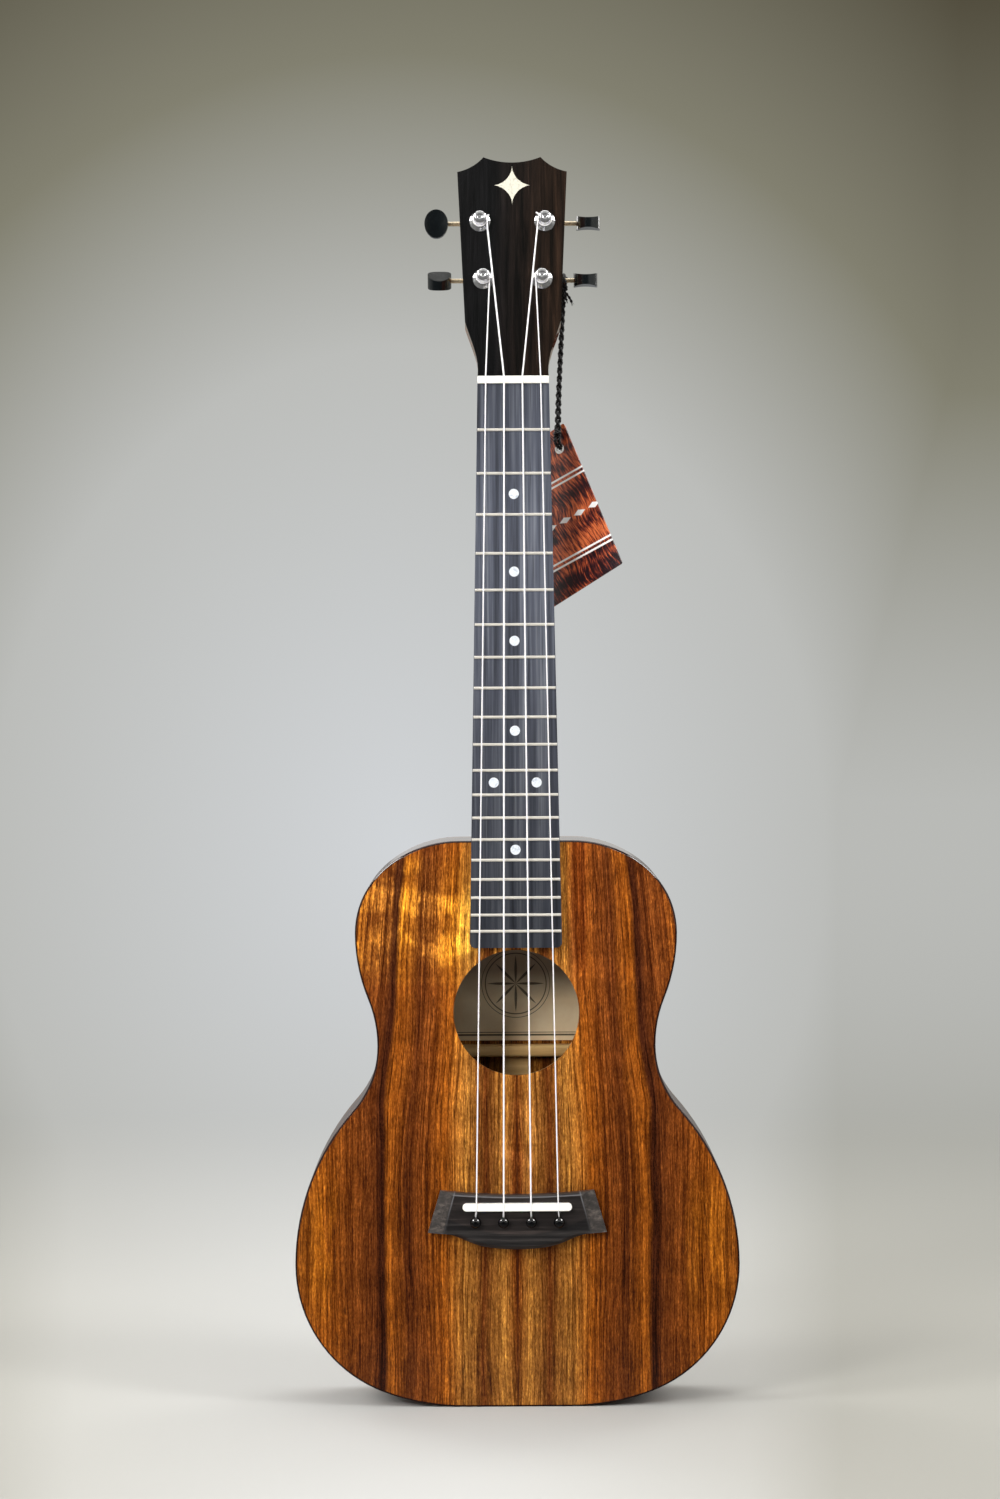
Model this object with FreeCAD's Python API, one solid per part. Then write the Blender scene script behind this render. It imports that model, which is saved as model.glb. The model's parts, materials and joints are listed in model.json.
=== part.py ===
import FreeCAD, Part
import math
import os

# Tenor ukulele. Millimetres, +Z along the neck, the soundboard faces -Y, +X is the player's treble side.
# The origin is the middle of the tail end, half way through the body's depth there.

V = FreeCAD.Vector
os.makedirs("parts", exist_ok=True)
# How far a cutting block reaches past what it cuts: a little way, and beyond the whole ukulele
SPARE = 1.0
PAST = 200.0
# How near an edge lies to a face to be taken as on it
NEAR = 0.1

# ---------------------------------------------------------------- driving dimensions
# Body outline: half widths and the heights where they occur, corner radii and flat ends
BODY_LENGTH = 299.3
LOWER_HALF, LOWER_Z = 117.4, 75.2
WAIST_HALF, WAIST_FROM_HEAD = 73.4, 108.2
UPPER_HALF, UPPER_FROM_HEAD = 85.0, 48.8
LOWER_CORNER_R, LOWER_SHOULDER_R = 72.0, 124.0
WAIST_UPPER_R, UPPER_CORNER_R = 66.0, 45.7
TAIL_FLAT, HEAD_FLAT = 28.0, 30.0
# Body depth and walls
TAIL_DEPTH, HEAD_DEPTH = 70.0, 62.0
DOME_R = 3000.0
TOP_THICK, BACK_THICK, SIDE_THICK = 2.2, 2.2, 2.0
EDGE_ROUND = 1.5
# Inside the body
LINING_WIDE, LINING_DEEP = 5.0, 11.0
NECK_BLOCK_LONG, TAIL_BLOCK_LONG, BLOCK_HALF = 26.0, 14.0, 27.0
HOLE_R, HOLE_FROM_BOARD = 33.1, 1.4
BRACE_WIDE = 6.4
BRACE_ROUND_SHARE, BRACE_END_SHARE, BRACE_FULL_SHARE = 0.3, 0.4, 0.55
TOP_BRACE_PAST_WAIST = 10.0
BACK_BRACES_FROM_TAIL, BACK_BRACES_FROM_HEAD = (64.0, 123.0), (116.3, 34.3)
BACK_BRACE_DEEP = 8.0
TOP_BRACE_DEEP, UPPER_BRACE_FROM_HOLE, LOWER_BRACE_FROM_HOLE = 9.0, 45.4, 46.6
FAN_WIDE, FAN_DEEP = 5.0, 6.0
FAN_SPREAD = 5.0
FAN_GAP, FAN_TAIL_GAP = 2.0, 8.0
HOLE_BRACE_AWAY, HOLE_BRACE_DEEP = 6.0, 4.0
PLATE_THICK, BRIDGE_PLATE_HALF = 2.0, 44.0
BRIDGE_PLATE_PAST_BELLY, BRIDGE_PLATE_PAST_TOP = 4.0, 2.0
SEAM_STRIP_WIDE, SEAM_STRIP_THICK = 13.0, 2.0
LABEL_WIDE, LABEL_TALL, LABEL_THICK, LABEL_GAP = 92.0, 62.0, 0.3, 2.0
# Strings and fretboard
SCALE = 431.8
FRET_COUNT = 19
COMPENSATION = 0.9
NUT_THICK, NUT_RISE, NUT_ROUND = 4.0, 1.7, 0.6
BOARD_NUT_HALF, BOARD_END_HALF = 18.8, 24.3
BOARD_THICK, BOARD_PAST_LAST_FRET, BOARD_CORNER_R = 5.5, 8.8, 3.0
FRET_WIDE, FRET_HIGH, FRET_TANG_WIDE, FRET_TANG_DEEP = 1.5, 0.9, 0.5, 1.6
FRET_END_INSET, FRET_END_FLAT, FRET_END_BEVEL = 0.25, 0.15, 30.0
DOT_R, DOT_THICK, DOUBLE_DOT_SPREAD = 2.65, 1.2, 22.5
SIDE_DOT_R, SIDE_DOT_DOWN, SIDE_DOT_INSET = 1.0, 2.5, 0.02
DOT_FRETS = (3, 5, 7, 10, 15)
DOUBLE_DOT_FRET = 12
STRING_R = {"g": 0.36, "c": 0.46, "e": 0.42, "a": 0.34}
NUT_SPACING, SADDLE_SPACING = 9.62, 14.35
STRING_SEAT, STRING_FIT, STRING_END_GAP = 0.2, 0.02, 0.3
STRING_ON_POST, WINDING_TURNS = 4.5, 2
STRING_PAST_POST, STRING_IN_HOLE, STRING_SLOT_LEAD = 0.2, 4.0, 0.5
CREST_INSET = 0.6
# Bridge
# Its outline's heights are measured from the saddle, upwards
SADDLE_Z = 106.9
BRIDGE_TOP_HALF, BRIDGE_TOP_UP, BRIDGE_TOP_MID_UP = 40.5, 8.1, 5.9
BRIDGE_WING_HALF, BRIDGE_WING_UP, BRIDGE_BELLY_UP = 47.2, -14.1, -22.7
BRIDGE_WING_HIGH, BRIDGE_HIGH = 3.2, 7.5
FACET_TOP_HALF, FACET_FOOT_HALF, FACET_PAST = 34.0, 37.5, 15.0
BELLY_POINTS = ((37.6, -14.4), (30.0, -16.6), (22.3, -19.8), (11.0, -22.1))
BRIDGE_BEVEL = 1.6
SADDLE_THICK, SADDLE_LONG, SADDLE_RISE, SADDLE_DEEP = 4.2, 57.5, 3.4, 4.5
PIN_UP, PIN_SPACING, PIN_HEAD_R, PIN_SHAFT_R, PIN_LONG = -8.2, 14.65, 2.95, 2.2, 18.0
PIN_FIT, PIN_HEAD_SUNK, PIN_TAPER = 0.05, 1.1, 0.8
SADDLE_ROUND = 0.55
# Neck
NECK_DEEP_NUT, NECK_DEEP_HEEL = 14.5, 17.0
NECK_SIDE = 1.5
THROAT_SPARE = 4.0
THROAT_EASE = (43.6, 33.6, 23.6, 13.6)
# Throat between shaft and cheeks: distance from the nut, half width, straight side, depth past the head's
THROAT_SHAPE = ((8.0, 20.0, 5.5, 0.6), (20.0, 24.1, 10.0, 0.2))
THROAT_LAST_ROUND = 0.3
OUTLINE_LEAD, HEADPLATE_LEAD = 40.0, 5.0
# Heel: distance behind the soundboard's face, half width at the body, reach along the neck
HEEL_SHAPE = (
    (4.0, 21.5, 62.0),
    (13.0, 20.8, 43.0),
    (22.0, 19.4, 30.0),
    (32.0, 17.8, 22.0),
    (43.0, 16.3, 17.0),
)
HEEL_END_HALF, HEEL_END_REACH = 14.5, 14.0
HEEL_CAP_THICK = 2.5
DOWEL_SHIFT = 4.0
DOWEL_R, DOWEL_LONG, DOWEL_DEPTHS = 4.0, 36.0, (-23.0, 4.0)
# Headstock: half widths at distances from the nut along its tilted face
HEAD_TILT = 12.0
HEAD_THICK, HEADPLATE_THICK = 13.0, 2.0
HEAD_FACE_DROP = 3.0
THROAT_LOW_HALF, THROAT_LOW_S = 19.95, 13.3
THROAT_HALF, THROAT_S = 22.6, 21.8
CHEEK_HALF, CHEEK_S = 25.25, 30.0
CROWN_HALF, CROWN_S = 29.05, 112.5
PEAK_HALF, PEAK_S, CROWN_DIP_S = 15.15, 120.6, 117.6
CROWN_SAG = 1.2
INLAY_S, INLAY_HALF, INLAY_TALL_HALF, INLAY_WAIST, INLAY_THICK = 105.0, 9.5, 10.45, 3.2, 1.0
# Tuners: places on the headstock face
POST_UPPER_X, POST_UPPER_S = 17.15, 84.85
POST_LOWER_X, POST_LOWER_S = 15.5, 53.15
POST_R, POST_TOP_R, POST_RISE, POST_NECK_R = 3.0, 3.2, 9.0, 2.35
RUNNING_CLEAR = 0.05
BUSHING_R, BUSHING_DEEP, BUSHING_FLANGE_R, BUSHING_FLANGE_HIGH = 4.2, 9.0, 5.5, 0.6
BUSHING_HIGH, BUSHING_CROWN_R, BUSHING_ROUND = 2.6, 3.8, 0.5
POST_CAP_HIGH, POST_CAP_ROUND, POST_PAST_PLATE = 1.6, 0.7, 0.4
POST_HOLE_CLEAR = 0.6
STRING_HOLE_R = 0.8
PLATE_METAL, PLATE_LOW, PLATE_HIGH, PLATE_HALF, PLATE_LOWER_BAR = 1.2, 12.0, 17.0, 6.8, 6.5
PLATE_SCREW_R, PLATE_SCREW_HEAD_R, PLATE_SCREW_HEAD = 0.9, 1.83, 0.95
PLATE_SCREW_LONG, PLATE_SCREW_INSET = 7.0, 3.4
EAR_THICK, EAR_HALF = 1.4, 2.6
WORM_AXIS_OUT, WORM_AXIS_BACK = 5.7, 6.2
WHEEL_TEETH, WORM_LEAD, WORM_TURNS = 14, 1.47, 4.5
WORM_SIDES = 12
TOOTH_RISE, TOOTH_ROOT_CLEAR, TOOTH_TIP, TOOTH_FOOT = 0.29, 0.42, 0.42, 0.56
THREAD_TIP, THREAD_FOOT, THREAD_SUNK = 0.36, 0.50, 0.4
WHEEL_WIDE, WHEEL_BOSS = 4.0, 3.0
WHEEL_SCREW_R, WHEEL_SCREW_LONG, WHEEL_SCREW_HEAD_R, WHEEL_SCREW_HEAD = 0.9, 3.0, 2.0, 1.3
SCREW_SLOT_WIDE, SCREW_SLOT_DEEP = 0.6, 0.6
CROSS_LONG, CROSS_WIDE, CROSS_UP = 2.2, 0.44, 0.45
SHAFT_R, SHAFT_END_GAP, STUB_PAST_EAR = 1.25, 0.15, 0.6
BUTTON_REACH = 23.4
BUTTON_LONG, BUTTON_TALL, BUTTON_THICK, BUTTON_WAIST = 12.6, 15.3, 7.4, 5.2
BUTTON_GRIP = 8.0
BUTTON_REST = {"g": -53.0, "c": 12.0, "e": 102.0, "a": 102.0}
# Hang tag and its cord
TAG_LONG, TAG_WIDE, TAG_THICK, TAG_CORNER_R = 85.0, 55.0, 0.8, 1.0
TAG_HOLE_FROM_SIDE, TAG_HOLE_FROM_END, TAG_HOLE_R = 8.2, 11.0, 1.9
EYELET_R, EYELET_RIM, EYELET_WALL = 2.8, 0.35, 0.35
CORD_R, ARC_SHARE = 1.2, 0.45
TAG_HOLE_PLACE = (24.9, -4.5, 507.2)
TAG_DOWN = (0.3545, -0.2945, -0.8869)
TAG_ACROSS = (-0.738, 0.4945, -0.458)
CORD_POINTS = (
    (28.7, -4.4, 591.6),
    (28.9, -4.3, 578.0),
    (26.6, -4.6, 555.0),
    (24.6, -5.4, 533.0),
    (24.3, -7.6, 518.0),
    (22.9, -8.3, 508.6),
    (26.9, -1.9, 506.9),
)
HITCH_X, HITCH_CLEAR, KNOT_R = 28.7, 0.3, 2.6


# ---------------------------------------------------------------- small helpers
def export(shapes, name):
    """Writes one STEP file that holds each solid of the given shape or list of shapes."""
    solids = []
    for shape in shapes if isinstance(shapes, (list, tuple)) else [shapes]:
        solids += shape.Solids
    whole = solids[0] if len(solids) == 1 else Part.makeCompound(solids)
    whole.exportStep(f"parts/{name}.step")
    bad = [i for i, s in enumerate(solids) if not s.isValid() or s.Volume <= 0]
    print(f"{name:22s} solids {len(solids):3d}  volume {whole.Volume:10.1f}", "BAD" if bad else "")


def box(x0, x1, y0, y1, z0, z1):
    """Axis-aligned block between two corners."""
    return Part.makeBox(x1 - x0, y1 - y0, z1 - z0, V(x0, y0, z0))


def rod(radius, start, end):
    """Round bar from one point to another."""
    along = end - start
    return Part.makeCylinder(radius, along.Length, start, along)


def extrude(edges, vector):
    """Solid from a closed set of edges that lie in one plane."""
    wire = Part.Wire(Part.__sortEdges__(edges))
    return Part.Face(wire).extrude(vector)


def arc(start, middle, end):
    """Circular arc edge through three points."""
    return Part.Arc(start, middle, end).toShape()


def half_ellipse(start, top, end):
    """Half an ellipse from start to end whose far point is top."""
    rise = top - (start + end) * 0.5
    poles = [start, start + rise, top, end + rise, end]
    corner = math.sqrt(0.5)
    curve = Part.BSplineCurve()
    curve.buildFromPolesMultsKnots(poles, [3, 2, 3], [0, 0.5, 1], False, 2, [1, corner, 1, corner, 1])
    return curve.toShape()


def line(start, end):
    """Straight edge between two points."""
    return Part.LineSegment(start, end).toShape()


def mirrored(shape):
    """The same shape on the other side of the centre plane x = 0."""
    return shape.mirror(V(0, 0, 0), V(1, 0, 0))


def turned(shape, angle, centre, axis):
    """A copy turned by an angle in degrees about an axis."""
    copy = shape.copy()
    copy.rotate(centre, axis, angle)
    return copy


# ---------------------------------------------------------------- places worked out from the dimensions
WAIST_Z = BODY_LENGTH - WAIST_FROM_HEAD
UPPER_Z = BODY_LENGTH - UPPER_FROM_HEAD
NUT_FRONT_Z = SADDLE_Z + COMPENSATION + SCALE
LAST_FRET_Z = NUT_FRONT_Z - SCALE * (1 - 2 ** (-FRET_COUNT / 12))
BOARD_END_Z = LAST_FRET_Z - BOARD_PAST_LAST_FRET
HOLE_Z = BOARD_END_Z - HOLE_FROM_BOARD - HOLE_R
BACK_BRACE_HEIGHTS = BACK_BRACES_FROM_TAIL + tuple(BODY_LENGTH - down for down in BACK_BRACES_FROM_HEAD)
UPPER_BRACE_Z = HOLE_Z + UPPER_BRACE_FROM_HOLE
LOWER_BRACE_Z = HOLE_Z - LOWER_BRACE_FROM_HOLE
BRIDGE_TOP_Z = SADDLE_Z + BRIDGE_TOP_UP
BRIDGE_TOP_MID_Z = SADDLE_Z + BRIDGE_TOP_MID_UP
BRIDGE_WING_Z = SADDLE_Z + BRIDGE_WING_UP
BRIDGE_BELLY_Z = SADDLE_Z + BRIDGE_BELLY_UP
PIN_Z = SADDLE_Z + PIN_UP
THROAT_EASE_Z = [NUT_FRONT_Z - down for down in THROAT_EASE]
FRONT_Y = -TAIL_DEPTH / 2
TOP_INNER_Y = FRONT_Y + TOP_THICK
BACK_TAIL_Y = FRONT_Y + TAIL_DEPTH
BACK_HEAD_Y = FRONT_Y + HEAD_DEPTH


# ---------------------------------------------------------------- body outline

def closing_radius(centre, radius, flat_x, flat_z):
    """Radius of the arc that leaves a flat end at flat_x and runs smoothly into a corner arc."""
    across = centre[0] - flat_x
    up = abs(centre[1] - flat_z)
    return (across ** 2 + up ** 2 - radius ** 2) / (2 * (up - radius))


def waist_radius(centre, radius, half, height):
    """Radius of the hollow arc that touches the waist point and runs smoothly out of a bout arc."""
    across = half - centre[0]
    rise = height - centre[1]
    return (radius ** 2 - across ** 2 - rise ** 2) / (2 * (across - radius))


def outline_arcs():
    """The half outline as (centre, radius, hollow) from the tail to the head, each tangent to the next."""
    c2 = (LOWER_HALF - LOWER_CORNER_R, LOWER_Z)
    r1 = closing_radius(c2, LOWER_CORNER_R, TAIL_FLAT, 0.0)
    c3 = (LOWER_HALF - LOWER_SHOULDER_R, LOWER_Z)
    r4 = waist_radius(c3, LOWER_SHOULDER_R, WAIST_HALF, WAIST_Z)
    c5 = (WAIST_HALF + WAIST_UPPER_R, WAIST_Z)
    across = c5[0] - UPPER_HALF
    rise = UPPER_Z - WAIST_Z
    r6 = (WAIST_UPPER_R ** 2 - across ** 2 - rise ** 2) / (2 * (across - WAIST_UPPER_R))
    c7 = (UPPER_HALF - UPPER_CORNER_R, UPPER_Z)
    r8 = closing_radius(c7, UPPER_CORNER_R, HEAD_FLAT, BODY_LENGTH)
    return [
        ((TAIL_FLAT, r1), r1, False),
        (c2, LOWER_CORNER_R, False),
        (c3, LOWER_SHOULDER_R, False),
        ((WAIST_HALF + r4, WAIST_Z), r4, True),
        (c5, WAIST_UPPER_R, True),
        ((UPPER_HALF - r6, UPPER_Z), r6, False),
        (c7, UPPER_CORNER_R, False),
        ((HEAD_FLAT, BODY_LENGTH - r8), r8, False),
    ]


def meeting_point(first, second, inset):
    """Where two tangent arcs of the outline, moved inward by inset, touch."""
    (ax, az), ar, a_hollow = first
    (bx, bz), br, b_hollow = second
    gap = math.hypot(bx - ax, bz - az)
    ux, uz = (bx - ax) / gap, (bz - az) / gap
    reach = ar + inset if a_hollow else ar - inset
    if a_hollow == b_hollow:
        sign = 1 if ar > br else -1
    else:
        sign = 1
    return (ax + sign * ux * reach, az + sign * uz * reach)


def arc_height(piece, start, end, inset):
    """A point half way along one arc of the outline."""
    (cx, cz), radius, hollow = piece
    reach = radius + inset if hollow else radius - inset
    a = math.atan2(start[1] - cz, start[0] - cx)
    b = math.atan2(end[1] - cz, end[0] - cx)
    if b - a > math.pi:
        b -= 2 * math.pi
    if a - b > math.pi:
        b += 2 * math.pi
    mid = (a + b) / 2
    return (cx + reach * math.cos(mid), cz + reach * math.sin(mid))


def half_outline(inset, y):
    """Edges of the +X half of the outline, moved inward, from the tail's middle to the head's middle."""
    arcs = outline_arcs()
    points = [(TAIL_FLAT, inset)]
    for first, second in zip(arcs, arcs[1:]):
        if abs(first[0][1] - second[0][1]) < 1e-9:
            side = 1 if not first[2] else -1
            reach = first[1] + inset if first[2] else first[1] - inset
            points.append((first[0][0] + side * reach, first[0][1]))
        else:
            points.append(meeting_point(first, second, inset))
    points.append((HEAD_FLAT, BODY_LENGTH - inset))
    edges = [line(V(0, y, inset), V(TAIL_FLAT, y, inset))]
    for piece, start, end in zip(arcs, points, points[1:]):
        middle = arc_height(piece, start, end, inset)
        edges.append(arc(V(start[0], y, start[1]), V(middle[0], y, middle[1]), V(end[0], y, end[1])))
    edges.append(line(V(HEAD_FLAT, y, BODY_LENGTH - inset), V(0, y, BODY_LENGTH - inset)))
    return edges


def half_prism(inset, y0, y1):
    """The +X half of the body's outline as a block between two depths."""
    closing = line(V(0, y0, BODY_LENGTH - inset), V(0, y0, inset))
    return extrude(half_outline(inset, y0) + [closing], V(0, y1 - y0, 0))


def full_prism(inset, y0, y1):
    """The whole outline as a block between two depths."""
    half = half_outline(inset, y0)
    return extrude(half + [mirrored(e) for e in half], V(0, y1 - y0, 0))


def dome(inset):
    """Ball whose surface is the back's face, moved inward. Its lean gives the body's taper in depth."""
    middle_y = (BACK_TAIL_Y + BACK_HEAD_Y) / 2
    lean = math.atan2(BACK_TAIL_Y - BACK_HEAD_Y, BODY_LENGTH)
    bulge = (BODY_LENGTH / 2) ** 2 / (2 * DOME_R)
    reach = DOME_R - bulge
    centre = V(0, middle_y - reach * math.cos(lean), BODY_LENGTH / 2 - reach * math.sin(lean))
    return Part.makeSphere(DOME_R - inset, centre, V(0, 0, 1), -90, 90, 360), centre


def back_y(x, z, inset=0.0):
    """Depth of the back's face at a place, moved inward."""
    centre = dome(0)[1]
    return centre.y + math.sqrt((DOME_R - inset) ** 2 - (x - centre.x) ** 2 - (z - centre.z) ** 2)


# ---------------------------------------------------------------- body
TAIL_WALL_Z = SIDE_THICK
HEAD_WALL_Z = BODY_LENGTH - SIDE_THICK
FAR_Y = TAIL_DEPTH
LABEL_LOW_Z = BACK_BRACE_HEIGHTS[2] + BRACE_WIDE / 2 + LABEL_GAP


def rounded_rim(plate, y_face):
    """Rounds the outer rim of a plate's show face, leaving its centre seam sharp."""
    rim = []
    for edge in plate.Edges:
        ends = [v.Point for v in edge.Vertexes]
        on_face = all(abs(p.y - y_face(p.x, p.z)) < 0.01 for p in ends)
        on_seam = all(abs(p.x) < 0.01 for p in ends)
        in_hole = all(math.hypot(p.x, p.z - HOLE_Z) < HOLE_R + 1 for p in ends)
        if on_face and not on_seam and not in_hole:
            rim.append(edge)
    return plate.makeFillet(EDGE_ROUND, rim)


def make_soundboard():
    """Two bookmatched halves glued along the centre, with the round soundhole."""
    half = half_prism(0, FRONT_Y, TOP_INNER_Y)
    half = rounded_rim(half, lambda x, z: FRONT_Y)
    hole = rod(HOLE_R, V(0, FRONT_Y - 1, HOLE_Z), V(0, TOP_INNER_Y + 1, HOLE_Z))
    half = half.cut(hole)
    return [half, mirrored(half)]


def make_back():
    """Two bookmatched halves bent to the dome."""
    outer, inner = dome(0)[0], dome(BACK_THICK)[0]
    half = half_prism(0, 0, FAR_Y).common(outer).cut(inner)
    half = rounded_rim(half, back_y)
    return [half, mirrored(half)]


def make_side():
    """The +X side, bent to the outline and standing between the soundboard and the back."""
    shell = half_prism(0, TOP_INNER_Y, FAR_Y).cut(full_prism(SIDE_THICK, TOP_INNER_Y, FAR_Y))
    return shell.common(dome(BACK_THICK)[0])


def neck_block_shape():
    """Upper block, which fills the depth between soundboard and back."""
    raw = box(-BLOCK_HALF, BLOCK_HALF, TOP_INNER_Y, FAR_Y, HEAD_WALL_Z - NECK_BLOCK_LONG, HEAD_WALL_Z)
    return raw.common(dome(BACK_THICK)[0])


def tail_block_shape():
    """Lower block at the tail end."""
    raw = box(-BLOCK_HALF, BLOCK_HALF, TOP_INNER_Y, FAR_Y, TAIL_WALL_Z, TAIL_WALL_Z + TAIL_BLOCK_LONG)
    return raw.common(dome(BACK_THICK)[0])


def lining_ring():
    """Full-depth ring just inside the sides, open at the two blocks."""
    ring = full_prism(SIDE_THICK, TOP_INNER_Y, FAR_Y)
    ring = ring.cut(full_prism(SIDE_THICK + LINING_WIDE, TOP_INNER_Y, FAR_Y))
    ring = ring.cut(box(-BLOCK_HALF, BLOCK_HALF, TOP_INNER_Y, FAR_Y, 0, BODY_LENGTH))
    return ring.common(dome(BACK_THICK)[0])


def make_top_linings(ring):
    """Glue strips that join the sides to the soundboard."""
    return ring.common(box(-PAST, PAST, TOP_INNER_Y, TOP_INNER_Y + LINING_DEEP, 0, BODY_LENGTH))


def make_back_linings(ring):
    """Glue strips that join the sides to the domed back."""
    return ring.cut(dome(BACK_THICK + LINING_DEEP)[0])


def inner_space():
    """The room inside the linings."""
    return full_prism(SIDE_THICK + LINING_WIDE, TOP_INNER_Y, FAR_Y).common(dome(BACK_THICK)[0])


def make_back_braces(space):
    """Cross braces on the back, shaped to its dome, with the seam strip's notch in the middle."""
    core = space.cut(dome(BACK_THICK + BACK_BRACE_DEEP)[0])
    braces = []
    for height in BACK_BRACE_HEIGHTS:
        bar = core.common(box(-PAST, PAST, 0, FAR_Y, height - BRACE_WIDE / 2, height + BRACE_WIDE / 2))
        glue_y = back_y(0, height, BACK_THICK + BACK_BRACE_DEEP / 2)
        free_edges = [e for e in bar.Edges if e.Length > 2 * BACK_BRACE_DEEP and e.BoundBox.YMax < glue_y]
        braces.append(bar.makeFillet(BRACE_WIDE * BRACE_ROUND_SHARE, free_edges))
    return braces


def make_seam_strip(space, braces):
    """Flat strips over the back's centre seam, one in each bay between the braces and blocks."""
    strip = space.cut(dome(BACK_THICK + SEAM_STRIP_THICK)[0])
    low = TAIL_WALL_Z + TAIL_BLOCK_LONG
    high = HEAD_WALL_Z - NECK_BLOCK_LONG
    half = SEAM_STRIP_WIDE / 2
    strip = strip.common(box(-half, half, 0, FAR_Y, low, high)).cut(Part.makeCompound(braces))
    return [bay for bay in strip.Solids if not LABEL_LOW_Z < bay.CenterOfMass.z < LABEL_LOW_Z + LABEL_TALL]


def make_label(space):
    """Thin paper glued to the back in the bay behind the soundhole, which has no seam strip."""
    sheet = space.cut(dome(BACK_THICK + LABEL_THICK)[0])
    half = LABEL_WIDE / 2
    return sheet.common(box(-half, half, 0, FAR_Y, LABEL_LOW_Z, LABEL_LOW_Z + LABEL_TALL))


def top_bar(x_half, z, deep, wide, space):
    """A cross brace under the soundboard with lowered ends."""
    y0 = TOP_INNER_Y
    low = y0 + deep * BRACE_END_SHARE
    full_half = x_half * BRACE_FULL_SHARE
    points = [V(-x_half, y0, 0), V(x_half, y0, 0), V(x_half, low, 0)]
    points += [V(full_half, y0 + deep, 0), V(-full_half, y0 + deep, 0), V(-x_half, low, 0)]
    edges = [line(a, b) for a, b in zip(points, points[1:] + points[:1])]
    bar = extrude(edges, V(0, 0, wide))
    bar.translate(V(0, 0, z - wide / 2))
    return bar.common(space)


def make_soundhole_braces():
    """Two short bars beside the soundhole, between the cross braces."""
    low = LOWER_BRACE_Z + BRACE_WIDE / 2
    high = UPPER_BRACE_Z - BRACE_WIDE / 2
    x0 = HOLE_R + HOLE_BRACE_AWAY
    bar = box(x0, x0 + FAN_WIDE, TOP_INNER_Y, TOP_INNER_Y + HOLE_BRACE_DEEP, low, high)
    return [bar, mirrored(bar)]


def make_fan_braces():
    """Slim braces towards the tail: two in line above and below the bridge plate, one past each end."""
    y0, y1 = TOP_INNER_Y, TOP_INNER_Y + FAN_DEEP
    half = FAN_WIDE / 2
    high = LOWER_BRACE_Z - BRACE_WIDE / 2
    low = TAIL_WALL_Z + TAIL_BLOCK_LONG + FAN_TAIL_GAP
    middle = box(-half, half, y0, y1, BRIDGE_TOP_Z + BRIDGE_PLATE_PAST_TOP + FAN_GAP, high)
    lower = box(-half, half, y0, y1, low, BRIDGE_BELLY_Z - BRIDGE_PLATE_PAST_BELLY - FAN_GAP)
    outer = box(0, FAN_WIDE, y0, y1, low + FAN_TAIL_GAP, high - 2 * FAN_GAP)
    outer = turned(outer, -FAN_SPREAD, V(0, 0, high), V(0, 1, 0))
    outer.translate(V(BRIDGE_PLATE_HALF + FAN_GAP / 2, 0, 0))
    return [middle, lower, outer, mirrored(outer)]


def make_bridge_plate():
    """Hardwood plate under the bridge, drilled for the pins."""
    half = BRIDGE_PLATE_HALF
    low, high = BRIDGE_BELLY_Z - BRIDGE_PLATE_PAST_BELLY, BRIDGE_TOP_Z + BRIDGE_PLATE_PAST_TOP
    plate = box(-half, half, TOP_INNER_Y, TOP_INNER_Y + PLATE_THICK, low, high)
    return plate.cut(pin_shafts(PIN_SHAFT_R + PIN_FIT))


def pin_places():
    """Where the four bridge pins stand across the bridge."""
    return [(i - 1.5) * PIN_SPACING for i in range(4)]


def pin_shafts(radius):
    """Bars on the pins' axes, through bridge, soundboard and plate."""
    start, end = FRONT_Y - BRIDGE_HIGH - SPARE, FRONT_Y + PIN_LONG
    return Part.makeCompound([rod(radius, V(x, start, PIN_Z), V(x, end, PIN_Z)) for x in pin_places()])


# ---------------------------------------------------------------- neck and headstock
BOARD_FACE_Y = FRONT_Y - BOARD_THICK
NUT_BACK_Z = NUT_FRONT_Z + NUT_THICK
HEAD_ORIGIN = V(0, BOARD_FACE_Y + HEAD_FACE_DROP, NUT_BACK_Z)
HEAD_WOOD_BACK = HEADPLATE_THICK + HEAD_THICK
X_AXIS = V(1, 0, 0)
HEEL_END_Y = FRONT_Y + HEAD_DEPTH - HEEL_CAP_THICK


def board_half(z):
    """Half width of the fretboard and neck at a height."""
    share = (NUT_FRONT_Z - z) / (NUT_FRONT_Z - BOARD_END_Z)
    return BOARD_NUT_HALF + (BOARD_END_HALF - BOARD_NUT_HALF) * share


def on_head(shape):
    """Places a shape drawn flat (x across, y behind the face, z up the face) on the tilted headstock."""
    placed = shape.copy()
    placed.rotate(V(0, 0, 0), X_AXIS, -HEAD_TILT)
    placed.translate(HEAD_ORIGIN)
    return placed


def head_point(x, behind, s):
    """A point of the headstock's own frame, in the ukulele's frame."""
    tilt = math.radians(HEAD_TILT)
    y = behind * math.cos(tilt) + s * math.sin(tilt)
    z = s * math.cos(tilt) - behind * math.sin(tilt)
    return HEAD_ORIGIN + V(x, y, z)


def neck_section(z, half, side, deep, lead=0.0):
    """D-shaped wire across the neck: flat front (lead moves it forward), straight sides and a round back."""
    y0, y1, y2 = FRONT_Y - lead, FRONT_Y + side, FRONT_Y + deep
    a, b, c, d = V(-half, y0, z), V(half, y0, z), V(half, y1, z), V(-half, y1, z)
    return Part.Wire([line(a, b), line(b, c), half_ellipse(c, V(0, y2, z), d), line(d, a)])


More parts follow.
